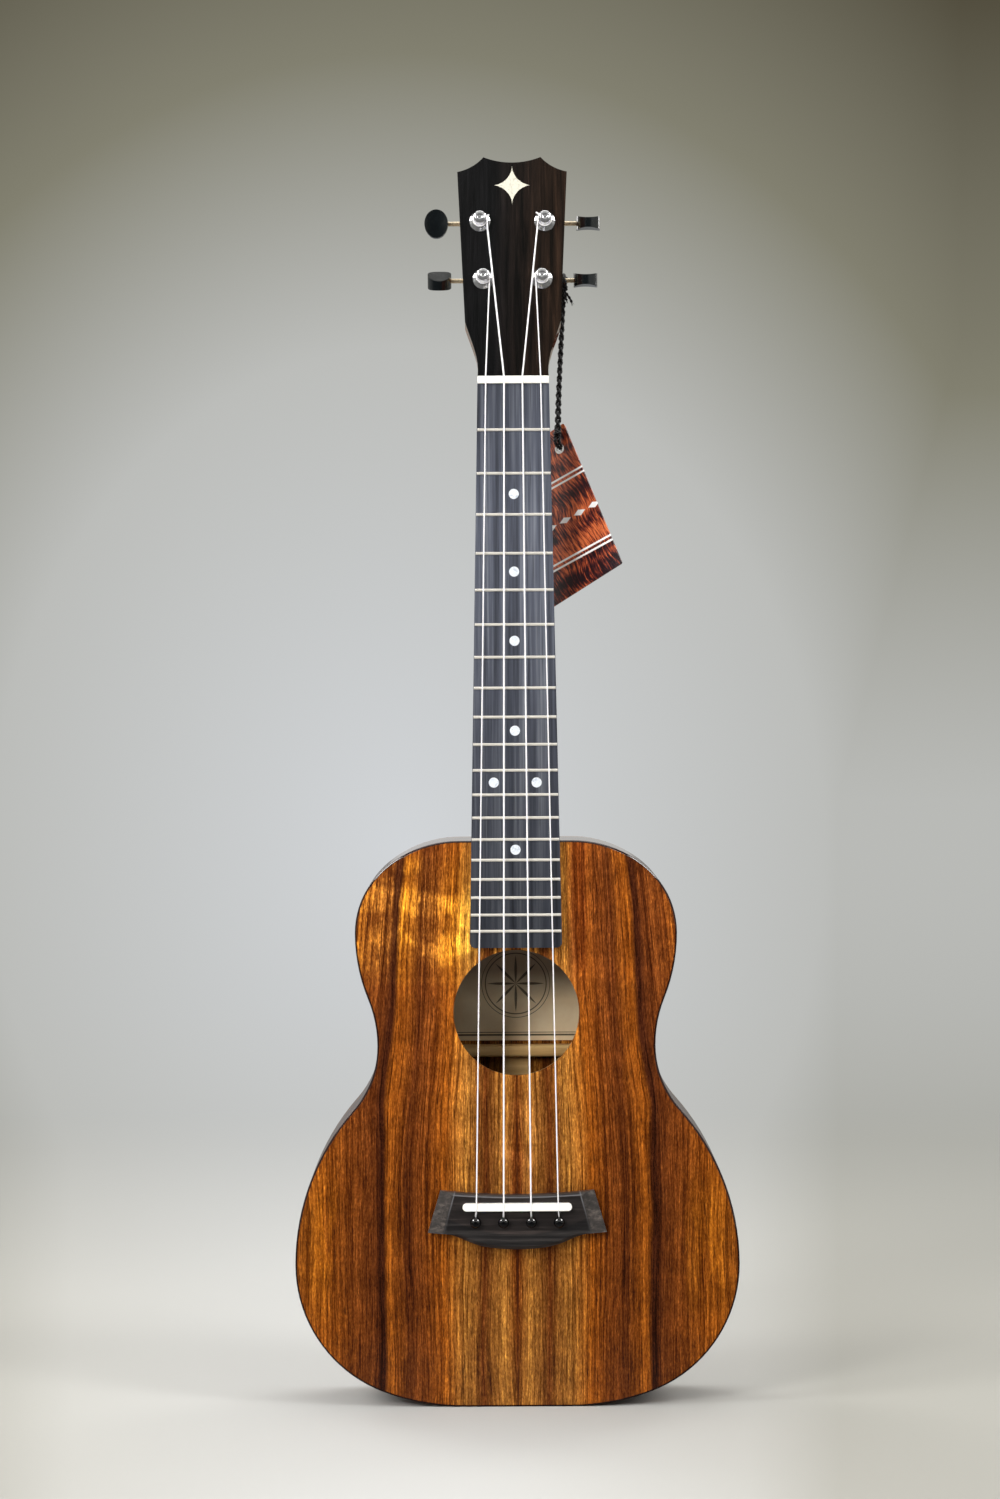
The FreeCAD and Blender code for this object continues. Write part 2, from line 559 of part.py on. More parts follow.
def throat_section(s, half, side, deep, lead):
    """The same kind of wire, square to the tilted headstock and under its headplate."""
    y0 = HEADPLATE_THICK
    y1 = y0 - lead
    a, b, c, d = V(-half, y1, s), V(half, y1, s), V(half, y0 + side, s), V(-half, y0 + side, s)
    wire = Part.Wire([line(a, b), line(b, c), half_ellipse(c, V(0, y0 + deep, s), d), line(d, a)])
    return on_head(wire)


def head_outline_edges(y, low_s):
    """Outline of the headstock face from a level near the nut to the crown, in its own flat frame."""
    def p(x, s):
        return V(x, y, s)
    low_half = board_half(NUT_BACK_Z)
    right = [p(low_half, low_s), p(low_half, 0), p(CHEEK_HALF, CHEEK_S)]
    right += [p(CROWN_HALF, CROWN_S), p(PEAK_HALF, PEAK_S)]
    shoulder = p((CROWN_HALF + PEAK_HALF - CROWN_SAG) / 2, (CROWN_S + PEAK_S) / 2 - CROWN_SAG)
    flare = Part.BSplineCurve()
    flare.interpolate([right[1], p(THROAT_LOW_HALF, THROAT_LOW_S), p(THROAT_HALF, THROAT_S), right[2]])
    side = [line(right[0], right[1]), flare.toShape(), line(right[2], right[3])]
    side.append(arc(right[3], shoulder, right[4]))
    crown = arc(right[4], p(0, CROWN_DIP_S), p(-PEAK_HALF, PEAK_S))
    foot = line(p(-low_half, low_s), right[0])
    return side + [mirrored(e) for e in side] + [crown, foot]


def head_prism(y0, y1, low_s):
    """Block with the headstock's outline between two depths behind its face, in its own flat frame."""
    return extrude(head_outline_edges(y0, low_s), V(0, y1 - y0, 0))


def heel_section(y, half, reach):
    """Wire across the heel at a depth: flat against the body and rounded towards the headstock."""
    a, b = V(-half, y, BODY_LENGTH), V(half, y, BODY_LENGTH)
    return Part.Wire([line(a, b), half_ellipse(b, V(0, y, BODY_LENGTH + reach), a)])


def make_heel():
    """The curved heel that runs from the shaft's back down to the heel cap."""
    wires = [heel_section(FRONT_Y + deep, half, reach) for deep, half, reach in HEEL_SHAPE]
    wires.append(heel_section(HEEL_END_Y, HEEL_END_HALF, HEEL_END_REACH))
    return Part.makeLoft(wires, True, False)


def make_heel_cap():
    """Thin dark plate glued on the heel's end."""
    wire = heel_section(HEEL_END_Y, HEEL_END_HALF, HEEL_END_REACH)
    return Part.Face(wire).extrude(V(0, HEEL_CAP_THICK, 0))


def make_neck():
    """Shaft, throat, headstock and heel carved from one piece of wood."""
    joint = neck_section(BODY_LENGTH, board_half(BODY_LENGTH), NECK_SIDE, NECK_DEEP_HEEL)
    start = neck_section(THROAT_EASE_Z[0], board_half(THROAT_EASE_Z[0]), NECK_SIDE, NECK_DEEP_NUT)
    shaft = Part.makeLoft([joint, start], True, True)
    lead = THROAT_SPARE
    throat_wires = []
    for z in THROAT_EASE_Z:
        throat_wires.append(neck_section(z, board_half(z), NECK_SIDE, NECK_DEEP_NUT, lead))
    for s, half, side, more in THROAT_SHAPE:
        throat_wires.append(throat_section(s, half, side, HEAD_THICK + more, lead))
    square_side = HEAD_THICK - THROAT_LAST_ROUND
    throat_wires.append(throat_section(CHEEK_S, CHEEK_HALF + SPARE, square_side, HEAD_THICK, lead))
    throat = Part.makeLoft(throat_wires, True, False)
    outline = on_head(head_prism(HEADPLATE_THICK, HEAD_WOOD_BACK + HEAD_THICK, -OUTLINE_LEAD))
    straight = box(-PAST, PAST, FRONT_Y, PAST, THROAT_EASE_Z[0], NUT_FRONT_Z)
    throat = throat.common(outline.fuse(straight))
    throat = throat.cut(box(-PAST, PAST, -PAST, FRONT_Y, THROAT_EASE_Z[0] - SPARE, NUT_BACK_Z))
    slab = head_prism(HEADPLATE_THICK, HEAD_WOOD_BACK, -HEADPLATE_LEAD)
    slab = on_head(slab.common(box(-PAST, PAST, 0, PAST, CHEEK_S, PAST)))
    neck = shaft.fuse(throat).fuse(slab).fuse(make_heel())
    return neck.removeSplitter()


# ---------------------------------------------------------------- fretboard, frets, nut
def fret_z(number):
    """Height of a fret from the equal-tempered rule."""
    return NUT_FRONT_Z - SCALE * (1 - 2 ** (-number / 12))


def dot_places():
    """Centres of the position dots on the fretboard's face, as (x, z)."""
    places = []
    for number in DOT_FRETS:
        places.append((0.0, (fret_z(number) + fret_z(number - 1)) / 2))
    middle = (fret_z(DOUBLE_DOT_FRET) + fret_z(DOUBLE_DOT_FRET - 1)) / 2
    half = DOUBLE_DOT_SPREAD / 2
    return places + [(-half, middle), (half, middle)]


def make_dots(radius, thick):
    """Round dots set into the face, and small ones set into the bass edge."""
    dots = [rod(radius, V(x, BOARD_FACE_Y, z), V(x, BOARD_FACE_Y + thick, z)) for x, z in dot_places()]
    side_y = BOARD_FACE_Y + SIDE_DOT_DOWN
    for number in DOT_FRETS + (DOUBLE_DOT_FRET,):
        z = (fret_z(number) + fret_z(number - 1)) / 2
        edge_x = -board_half(z)
        dots.append(rod(SIDE_DOT_R, V(edge_x + SIDE_DOT_INSET, side_y, z), V(edge_x + thick, side_y, z)))
    return dots


def make_fretboard():
    """Tapered board with slots for the frets and seats for the dots."""
    end_half, nut_half = BOARD_END_HALF, BOARD_NUT_HALF
    r = BOARD_CORNER_R
    y = BOARD_FACE_Y
    z0, z1 = BOARD_END_Z, NUT_FRONT_Z
    tuck = r * (1 - math.sqrt(0.5))
    corner = V(end_half - tuck, y, z0 + tuck)
    foot, turn = V(end_half - r, y, z0), V(board_half(z0 + r), y, z0 + r)
    edges = [line(V(-nut_half, y, z1), V(nut_half, y, z1)), line(V(-foot.x, y, z0), foot)]
    side = [line(V(nut_half, y, z1), turn), arc(turn, corner, foot)]
    board = extrude(edges + side + [mirrored(e) for e in side], V(0, BOARD_THICK, 0))
    slots = []
    for number in range(1, FRET_COUNT + 1):
        z = fret_z(number)
        half = FRET_TANG_WIDE / 2
        slots.append(box(-PAST, PAST, y - SPARE, y + FRET_TANG_DEEP, z - half, z + half))
    return board.cut(Part.makeCompound(slots)).cut(Part.makeCompound(make_dots(DOT_R, DOT_THICK)))


def make_frets():
    """Nickel wire with a low round crown, rounded ends and a tang in its slot."""
    frets = []
    for number in range(1, FRET_COUNT + 1):
        z = fret_z(number)
        half_long = board_half(z) - FRET_END_INSET
        half = FRET_WIDE / 2
        y = BOARD_FACE_Y
        base = line(V(-half_long, y, z - half), V(-half_long, y, z + half))
        crown = arc(V(-half_long, y, z + half), V(-half_long, y - FRET_HIGH, z), V(-half_long, y, z - half))
        wire = extrude([base, crown], V(2 * half_long, 0, 0))
        block = 5 * FRET_WIDE
        tip = box(0, block, -block, 0, -block, block)
        tip = turned(tip, FRET_END_BEVEL, V(0, 0, 0), V(0, 0, 1))
        tip.translate(V(half_long - FRET_END_FLAT, y - FRET_END_FLAT, z))
        wire = wire.cut(tip).cut(mirrored(tip))
        tang_half = FRET_TANG_WIDE / 2
        tang = box(-half_long, half_long, y, y + FRET_TANG_DEEP, z - tang_half, z + tang_half)
        frets.append(wire.fuse(tang))
    return frets


def string_line_x(number, z):
    """Sideways place of a string (0 to 3 from the bass side) at a height between saddle and nut."""
    share = (z - CREST_Z) / (NUT_FRONT_Z - CREST_Z)
    spacing = SADDLE_SPACING + (NUT_SPACING - SADDLE_SPACING) * share
    return (number - 1.5) * spacing


NUT_TOP_Y = BOARD_FACE_Y - NUT_RISE
SADDLE_TOP_Y = FRONT_Y - BRIDGE_HIGH - SADDLE_RISE
BRIDGE_TOP_Y = FRONT_Y - BRIDGE_HIGH
CREST_Z = SADDLE_Z - SADDLE_THICK / 2 + CREST_INSET
STRING_NAMES = ("g", "c", "e", "a")


def make_nut():
    """Bone nut behind the fretboard's end, with a slot for each string."""
    half = BOARD_NUT_HALF
    nut = box(-half, half, NUT_TOP_Y, FRONT_Y, NUT_FRONT_Z, NUT_BACK_Z)
    long_edges = [e for e in nut.Edges if e.BoundBox.YMax < NUT_TOP_Y + NEAR]
    nut = nut.makeFillet(NUT_ROUND, long_edges)
    return nut.cut(Part.makeCompound([string_channel(i) for i in range(4)]))


# ---------------------------------------------------------------- strings
POST_PLACES = {
    "g": (-POST_LOWER_X, POST_LOWER_S),
    "c": (-POST_UPPER_X, POST_UPPER_S),
    "e": (POST_UPPER_X, POST_UPPER_S),
    "a": (POST_LOWER_X, POST_LOWER_S),
}


def winding_tangent(name, start_x, start_s):
    """Where a string from the nut meets its winding on the post's inner side, in the flat frame."""
    x, s = POST_PLACES[name]
    reach = POST_R + STRING_R[name]
    dx, ds = start_x - x, start_s - s
    away = math.hypot(dx, ds)
    spread = math.acos(reach / away)
    base = math.atan2(ds, dx)
    turn = base + spread if x < 0 else base - spread
    return x + reach * math.cos(turn), s + reach * math.sin(turn)


def string_points(number):
    """Corner points of a string: in its pin hole, bridge top, saddle, nut edges, short of its winding."""
    name = STRING_NAMES[number]
    radius = STRING_R[name]
    pin_x = pin_places()[number]
    saddle_y = SADDLE_TOP_Y - STRING_SEAT
    nut_y = NUT_TOP_Y - STRING_SEAT
    nut_x = string_line_x(number, NUT_FRONT_Z)
    mouth = V(pin_x, BRIDGE_TOP_Y - radius, PIN_Z + PIN_SHAFT_R + radius)
    inside = V(pin_x, BRIDGE_TOP_Y + STRING_IN_HOLE, PIN_Z + PIN_SHAFT_R - radius)
    crest = V(string_line_x(number, CREST_Z), saddle_y, CREST_Z)
    nut_front = V(nut_x, nut_y, NUT_FRONT_Z + STRING_SLOT_LEAD)
    tilt = math.radians(HEAD_TILT)
    drop = NUT_TOP_Y - STRING_SEAT - HEAD_ORIGIN.y
    start_s = drop * math.sin(tilt)
    tx, ts = winding_tangent(name, nut_x, start_s)
    run = math.hypot(tx - nut_x, ts - start_s)
    clear = POST_R + 2 * radius + STRING_END_GAP
    short = math.sqrt(clear ** 2 - POST_R ** 2) + STRING_PAST_POST
    share = (run - short) / run
    end = head_point(nut_x + (tx - nut_x) * share, -STRING_ON_POST, start_s + (ts - start_s) * share)
    nut_back = V(nut_x, nut_y + STRING_FIT, NUT_BACK_Z - STRING_SLOT_LEAD)
    return [inside, mouth, crest, nut_front, nut_back, end]


def string_shape(number, radius):
    """Round bars along a string's corner points, joined by balls."""
    points = string_points(number)
    shape = rod(radius, points[0], points[1])
    for start, end in zip(points[1:], points[2:]):
        ball = Part.makeSphere(radius, start)
        shape = shape.fuse(ball).fuse(rod(radius, start, end))
    return shape


def string_channel(number):
    """The room that a string needs in the pieces that it rests on."""
    return string_shape(number, STRING_R[STRING_NAMES[number]] + STRING_FIT)


# ---------------------------------------------------------------- bridge
def bridge_outline(y, depth):
    """Block with the bridge's outline: hollow top edge, slanted ends and a curved belly."""
    def p(x, z):
        return V(x, y, z)
    top = arc(p(-BRIDGE_TOP_HALF, BRIDGE_TOP_Z), p(0, BRIDGE_TOP_MID_Z), p(BRIDGE_TOP_HALF, BRIDGE_TOP_Z))
    belly_right = [p(x, SADDLE_Z + up) for x, up in BELLY_POINTS]
    wing_end = belly_right[0]
    side = [line(p(BRIDGE_TOP_HALF, BRIDGE_TOP_Z), p(BRIDGE_WING_HALF, BRIDGE_WING_Z))]
    side.append(line(p(BRIDGE_WING_HALF, BRIDGE_WING_Z), wing_end))
    belly = Part.BSplineCurve()
    belly_left = [V(-q.x, y, q.z) for q in belly_right]
    belly.interpolate(belly_left + [p(0, BRIDGE_BELLY_Z)] + belly_right[::-1])
    return extrude([top, belly.toShape()] + side + [mirrored(e) for e in side], V(0, depth, 0))


def facet_cutter():
    """Wedge that thins one end of the bridge from its facet line to the wing's edge."""
    def section(facet_half, edge_half, z):
        high, low, out = BRIDGE_TOP_Y, FRONT_Y - BRIDGE_WING_HIGH, BRIDGE_TOP_Y - BRIDGE_HIGH
        points = [V(facet_half, out, z), V(facet_half, high, z), V(edge_half, low, z)]
        points += [V(edge_half + FACET_PAST, low, z), V(edge_half + FACET_PAST, out, z)]
        return Part.makePolygon(points + points[:1])
    per_mm = (FACET_FOOT_HALF - FACET_TOP_HALF) / (BRIDGE_TOP_Z - BRIDGE_WING_Z)
    edge_per_mm = (BRIDGE_WING_HALF - BRIDGE_TOP_HALF) / (BRIDGE_TOP_Z - BRIDGE_WING_Z)
    drop = BRIDGE_TOP_Z - BRIDGE_WING_Z + FACET_PAST
    lower = section(FACET_TOP_HALF + per_mm * drop, BRIDGE_TOP_HALF + edge_per_mm * drop, BRIDGE_TOP_Z - drop)
    start_half, start_edge = FACET_TOP_HALF - per_mm * SPARE, BRIDGE_TOP_HALF - edge_per_mm * SPARE
    lead = section(start_half, start_edge, BRIDGE_TOP_Z + SPARE)
    return Part.makeLoft([lead, lower], True, True)


def saddle_blank(grow):
    """Saddle with round ends, or its slot when grown a little."""
    half = SADDLE_LONG / 2 - SADDLE_THICK / 2
    r = SADDLE_THICK / 2 + grow
    y0 = SADDLE_TOP_Y
    y1 = BRIDGE_TOP_Y + SADDLE_DEEP
    ends = [rod(r, V(x, y0, SADDLE_Z), V(x, y1, SADDLE_Z)) for x in (-half, half)]
    return box(-half, half, y0, y1, SADDLE_Z - r, SADDLE_Z + r).fuse(ends[0]).fuse(ends[1]).removeSplitter()


def make_saddle():
    """Bone saddle with softened top edges and shallow string seats."""
    saddle = saddle_blank(0)
    top = [e for e in saddle.Edges if e.BoundBox.YMax < SADDLE_TOP_Y + NEAR]
    saddle = saddle.makeFillet(SADDLE_ROUND, top)
    return saddle.cut(Part.makeCompound([string_channel(i) for i in range(4)]))


def make_bridge():
    """Ebony bridge glued to the soundboard, slotted for the saddle and drilled for the pins."""
    block = bridge_outline(BRIDGE_TOP_Y, BRIDGE_HIGH)
    upper = [e for e in block.Edges if e.BoundBox.YMax < BRIDGE_TOP_Y + NEAR]
    crisp = [e for e in upper if e.BoundBox.XLength > 2 * FACET_TOP_HALF]
    block = block.makeChamfer(BRIDGE_BEVEL, crisp)
    wedge = facet_cutter()
    block = block.cut(wedge).cut(mirrored(wedge))
    block = block.cut(saddle_blank(0.0)).cut(pin_shafts(PIN_SHAFT_R + PIN_FIT))
    return block.cut(Part.makeCompound([string_channel(i) for i in range(4)]))


def make_pins():
    """Four bridge pins with domed heads and grooves for their strings."""
    pins = []
    for number, x in enumerate(pin_places()):
        seat = BRIDGE_TOP_Y
        head = Part.makeSphere(PIN_HEAD_R, V(x, seat - PIN_HEAD_R + PIN_HEAD_SUNK, PIN_Z))
        head = head.cut(box(-PAST, PAST, seat, PAST, 0, PAST))
        top = V(x, seat - SPARE, PIN_Z)
        shaft = Part.makeCone(PIN_SHAFT_R, PIN_SHAFT_R * PIN_TAPER, PIN_LONG, top, V(0, 1, 0))
        pins.append(head.fuse(shaft).removeSplitter().cut(string_channel(number)))
    return pins


# ---------------------------------------------------------------- tuning machines
# These are drawn in the headstock's flat frame: x across, y behind the face, z up the face.
WORM_AXIS_Y = HEAD_WOOD_BACK + WORM_AXIS_BACK
WHEEL_PITCH_R = WHEEL_TEETH * WORM_LEAD / (2 * math.pi)
WORM_PITCH_R = WORM_AXIS_OUT - WHEEL_PITCH_R
WORM_HALF = (WORM_TURNS + 1) * WORM_LEAD / 2
EAR_X = WORM_HALF + SHAFT_END_GAP


def post_hole(x, s):
    """Room for a bushing in the headplate and wood, and for its post behind it."""
    seat = rod(BUSHING_R, V(x, -SPARE, s), V(x, BUSHING_DEEP, s))
    through = rod(POST_R + POST_HOLE_CLEAR, V(x, BUSHING_DEEP - SPARE, s), V(x, HEAD_WOOD_BACK + SPARE, s))
    return seat.fuse(through)


def make_bushing(x, s):
    """Domed collar pressed into the face around the post."""
    flange_top = V(x, -BUSHING_FLANGE_HIGH, s)
    barrel = rod(BUSHING_R, V(x, 0, s), V(x, BUSHING_DEEP, s))
    rim = rod(BUSHING_FLANGE_R, flange_top, V(x, 0, s))
    rise = BUSHING_HIGH - BUSHING_FLANGE_HIGH
    collar = Part.makeCone(BUSHING_FLANGE_R - NEAR, BUSHING_CROWN_R, rise, flange_top, V(0, -1, 0))
    whole = barrel.fuse(rim).fuse(collar).removeSplitter()
    top = [e for e in whole.Edges if e.BoundBox.YMax < -BUSHING_HIGH + NEAR / 2]
    whole = whole.makeFillet(BUSHING_ROUND, top)
    return whole.cut(rod(POST_R + RUNNING_CLEAR, V(x, -PAST, s), V(x, PAST, s)))


def make_post(x, s):
    """String post with a cross hole for the string and a square boss for its wheel."""
    y_plate = HEAD_WOOD_BACK + PLATE_METAL
    wheel_y = WORM_AXIS_Y - WHEEL_WIDE / 2
    boss_top = wheel_y + WHEEL_WIDE
    post_foot = y_plate + POST_PAST_PLATE
    cap_foot = -POST_RISE + POST_CAP_HIGH
    post = rod(POST_R, V(x, cap_foot, s), V(x, post_foot, s))
    cap = rod(POST_TOP_R, V(x, -POST_RISE, s), V(x, cap_foot, s))
    crown = [e for e in cap.Edges if e.BoundBox.YMax < -POST_RISE + NEAR]
    cap = cap.makeFillet(POST_CAP_ROUND, crown)
    neck = rod(POST_NECK_R, V(x, post_foot, s), V(x, wheel_y, s))
    half = WHEEL_BOSS / 2
    boss = box(x - half, x + half, wheel_y, boss_top, s - half, s + half)
    hole = rod(STRING_HOLE_R, V(x - PAST, -STRING_ON_POST, s), V(x + PAST, -STRING_ON_POST, s))
    tap = rod(WHEEL_SCREW_R, V(x, boss_top - WHEEL_SCREW_LONG, s), V(x, boss_top + SPARE, s))
    return post.fuse(cap).fuse(neck).fuse(boss).cut(hole).cut(tap).removeSplitter()


def make_winding(x, s, name):
    """The turns of string on a post, as a plain sleeve."""
    radius = STRING_R[name]
    y0, y1 = -STRING_ON_POST - radius, -STRING_ON_POST + (2 * WINDING_TURNS - 1) * radius
    sleeve = rod(POST_R + 2 * radius, V(x, y0, s), V(x, y1, s))
    return sleeve.cut(rod(POST_R, V(x, -PAST, s), V(x, PAST, s)))


def tooth_profile(radius_low, radius_high, foot, tip, angle):
    """Four corners of a straight-sided tooth on a wheel, at an angle from +z."""
    left = [(-foot / 2, radius_low), (-tip / 2, radius_high)]
    corners = left + [(-px, pz) for px, pz in reversed(left)]
    sine, cosine = math.sin(angle), math.cos(angle)
    return [(px * cosine + pz * sine, pz * cosine - px * sine) for px, pz in corners]


def make_wheel(x, s):
    """Worm wheel with straight flat-sided teeth and a square hole, held by a small screw."""
    root = WHEEL_PITCH_R - TOOTH_ROOT_CLEAR
    corners = []
    for tooth in range(WHEEL_TEETH):
        angle = 2 * math.pi * tooth / WHEEL_TEETH
        corners += tooth_profile(root, WHEEL_PITCH_R + TOOTH_RISE, TOOTH_FOOT, TOOTH_TIP, angle)
    y0 = WORM_AXIS_Y - WHEEL_WIDE / 2
    points = [V(x + px, y0, s + pz) for px, pz in corners]
    gear = Part.Face(Part.makePolygon(points + points[:1])).extrude(V(0, WHEEL_WIDE, 0))
    half = WHEEL_BOSS / 2
    gear = gear.cut(box(x - half, x + half, -PAST, PAST, s - half, s + half))
    head_y = y0 + WHEEL_WIDE
    head = rod(WHEEL_SCREW_HEAD_R, V(x, head_y, s), V(x, head_y + WHEEL_SCREW_HEAD, s))
    stem = rod(WHEEL_SCREW_R, V(x, head_y - WHEEL_SCREW_LONG, s), V(x, head_y, s))
    slot_y, slot_half = head_y + WHEEL_SCREW_HEAD - SCREW_SLOT_DEEP, SCREW_SLOT_WIDE / 2
    slot = box(-PAST, PAST, slot_y, PAST, s - slot_half, s + slot_half)
    return [gear, head.fuse(stem).removeSplitter().cut(slot)]


def flat_solid(points, triangles):
    """Solid from flat triangles over a list of points."""
    faces = []
    for triangle in triangles:
        corners = [points[i] for i in triangle]
        faces.append(Part.Face(Part.makePolygon(corners + corners[:1])))
    return Part.Solid(Part.makeShell(faces))


def make_worm():
    """One-start right-hand worm on the x axis, flat-sided, half a lead aside where it meets the wheel."""
    root = WORM_PITCH_R - TOOTH_ROOT_CLEAR
    tip = WORM_PITCH_R + TOOTH_RISE
    steps = int(round(WORM_TURNS * WORM_SIDES))
    points = []
    for step in range(steps + 1):
        angle = 2 * math.pi * (step - steps / 2) / WORM_SIDES - math.pi / 2
        along = WORM_LEAD / 2 + WORM_LEAD * (step - steps / 2) / WORM_SIDES
        cosine, sine = math.cos(angle), math.sin(angle)
        for radius, offset in (
            (root - THREAD_SUNK, -THREAD_FOOT / 2),
            (root - THREAD_SUNK, THREAD_FOOT / 2),
            (tip, THREAD_TIP / 2),
            (tip, -THREAD_TIP / 2),
        ):
            points.append(V(along + offset, radius * cosine, radius * sine))
    triangles = [(0, 1, 2), (0, 2, 3)]
    for step in range(steps):
        for side in range(4):
            a, b = 4 * step + side, 4 * step + (side + 1) % 4
            triangles += [(a, a + 4, b), (b, a + 4, b + 4)]
    last = 4 * steps
    triangles += [(last, last + 2, last + 1), (last, last + 3, last + 2)]
    thread = flat_solid(points, triangles)
    if thread.Volume < 0:
        thread.reverse()
    ring = []
    for side in range(WORM_SIDES):
        angle = 2 * math.pi * side / WORM_SIDES
        ring.append(V(-WORM_HALF, root * math.cos(angle), root * math.sin(angle)))
    core = Part.Face(Part.makePolygon(ring + ring[:1])).extrude(V(2 * WORM_HALF, 0, 0))
    trim = box(-WORM_HALF, WORM_HALF, -PAST, PAST, -PAST, PAST)
    return core.fuse(thread.common(trim))


def worm_place(x, s):
    """Centre of the worm's axis for a post at x, s."""
    return V(x, WORM_AXIS_Y, s + WORM_AXIS_OUT)


def make_worm_shaft(x, s, worm):
    """Worm with its inner journal and the long shaft that carries the button."""
    side = -1 if x < 0 else 1
    centre = worm_place(x, s)
    body = worm.copy()
    body.translate(centre)
    inner_end = EAR_X + EAR_THICK + STUB_PAST_EAR
    outer_end = BUTTON_REACH - BUTTON_LONG / 2 + BUTTON_GRIP
    stub = rod(SHAFT_R, centre + V(-side * inner_end, 0, 0), centre + V(-side * WORM_HALF, 0, 0))
    long_bar = rod(SHAFT_R, centre + V(side * WORM_HALF, 0, 0), centre + V(side * outer_end, 0, 0))
    return [body, stub, long_bar]


def make_plate(x, s):
    """Base plate screwed to the headstock's back, with two ears that carry the worm shaft."""
    y0, y1 = HEAD_WOOD_BACK, HEAD_WOOD_BACK + PLATE_METAL
    low, high = s - PLATE_LOW, s + PLATE_HIGH
    r = PLATE_SCREW_INSET
    half = PLATE_HALF
    foot, head = s - PLATE_LOWER_BAR, s + WORM_AXIS_OUT + EAR_HALF
    plate = box(x - half, x + half, y0, y1, foot, head)
    for z, edge in ((low + r, foot), (high - r, head)):
        plate = plate.fuse(rod(r, V(x, y0, z), V(x, y1, z)))
        plate = plate.fuse(box(x - r, x + r, y0, y1, min(z, edge), max(z, edge)))
    centre = worm_place(x, s)
    for side in (-1, 1):
        x0 = x + side * EAR_X
        x1 = x + side * (EAR_X + EAR_THICK)
        top = WORM_AXIS_Y
        ear = box(min(x0, x1), max(x0, x1), y0, top, centre.z - EAR_HALF, centre.z + EAR_HALF)
        ear = ear.fuse(rod(EAR_HALF, V(x0, top, centre.z), V(x1, top, centre.z)))
        plate = plate.fuse(ear)
    plate = plate.cut(rod(SHAFT_R + RUNNING_CLEAR, centre - V(PAST, 0, 0), centre + V(PAST, 0, 0)))
    plate = plate.cut(rod(POST_R + RUNNING_CLEAR, V(x, -PAST, s), V(x, PAST, s)))
    return plate.cut(Part.makeCompound(plate_screw_bars(x, s))).removeSplitter()


def plate_screw_places(x, s):
    """The two screws of a tuner's base plate."""
    return [(x, s - PLATE_LOW + PLATE_SCREW_INSET), (x, s + PLATE_HIGH - PLATE_SCREW_INSET)]


def plate_screw_bars(x, s):
    """The shanks of the plate screws."""
    y1 = HEAD_WOOD_BACK + PLATE_METAL
    y0 = y1 - PLATE_SCREW_LONG
    return [rod(PLATE_SCREW_R, V(px, y0, ps), V(px, y1 + SPARE, ps)) for px, ps in plate_screw_places(x, s)]


def make_plate_screws(x, s):
    """Two round-headed screws with cross slots."""
    screws = []
    y1 = HEAD_WOOD_BACK + PLATE_METAL
    ball_r = (PLATE_SCREW_HEAD_R ** 2 + PLATE_SCREW_HEAD ** 2) / (2 * PLATE_SCREW_HEAD)
    cross_y, long, wide = y1 + CROSS_UP, CROSS_LONG / 2, CROSS_WIDE / 2
    for px, ps in plate_screw_places(x, s):
        shank = rod(PLATE_SCREW_R, V(px, y1 - PLATE_SCREW_LONG, ps), V(px, y1, ps))
        ball = Part.makeSphere(ball_r, V(px, y1 + PLATE_SCREW_HEAD - ball_r, ps))
        head = ball.common(box(-PAST, PAST, y1, PAST, -PAST, PAST))
        cross = box(px - long, px + long, cross_y, PAST, ps - wide, ps + wide)
        cross = cross.fuse(box(px - wide, px + wide, cross_y, PAST, ps - long, ps + long))
        screws.append(shank.fuse(head).removeSplitter().cut(cross))
    return screws


def make_button(x, s, name):
    """Oval button with hollowed faces, pressed on the shaft's end."""
    side = -1 if x < 0 else 1
    centre = worm_place(x, s)
    middle = centre + V(side * BUTTON_REACH, 0, 0)
    half_long, half_tall, half_thick = BUTTON_LONG / 2, BUTTON_TALL / 2, BUTTON_THICK / 2
    y = -half_thick
    right = half_ellipse(V(0, y, -half_tall), V(half_long, y, 0), V(0, y, half_tall))
    left = half_ellipse(V(0, y, half_tall), V(-half_long, y, 0), V(0, y, -half_tall))
    button = extrude([right, left], V(0, BUTTON_THICK, 0))
    dip = (BUTTON_THICK - BUTTON_WAIST) / 2
    hollow_r = (half_long ** 2 + dip ** 2) / (2 * dip)
    for face in (-1, 1):
        out = face * (half_thick - dip + hollow_r)
        button = button.cut(rod(hollow_r, V(0, out, -PAST), V(0, out, PAST)))
    bore_start = -side * (half_long + SPARE)
    bore_end = -side * half_long + side * BUTTON_GRIP
    button = button.cut(rod(SHAFT_R, V(bore_start, 0, 0), V(bore_end, 0, 0)))
    button = turned(button, BUTTON_REST[name], V(0, 0, 0), X_AXIS)
    button.translate(middle)
    return button


# ---------------------------------------------------------------- hang tag
def tag_frame():
    """Hole centre, direction down the card, across it and out of its face."""
    down = V(*TAG_DOWN).normalize()
    across = V(*TAG_ACROSS)
    across = (across - down * across.dot(down)).normalize()
    out = across.cross(down).normalize()
    return V(*TAG_HOLE_PLACE), down, across, out


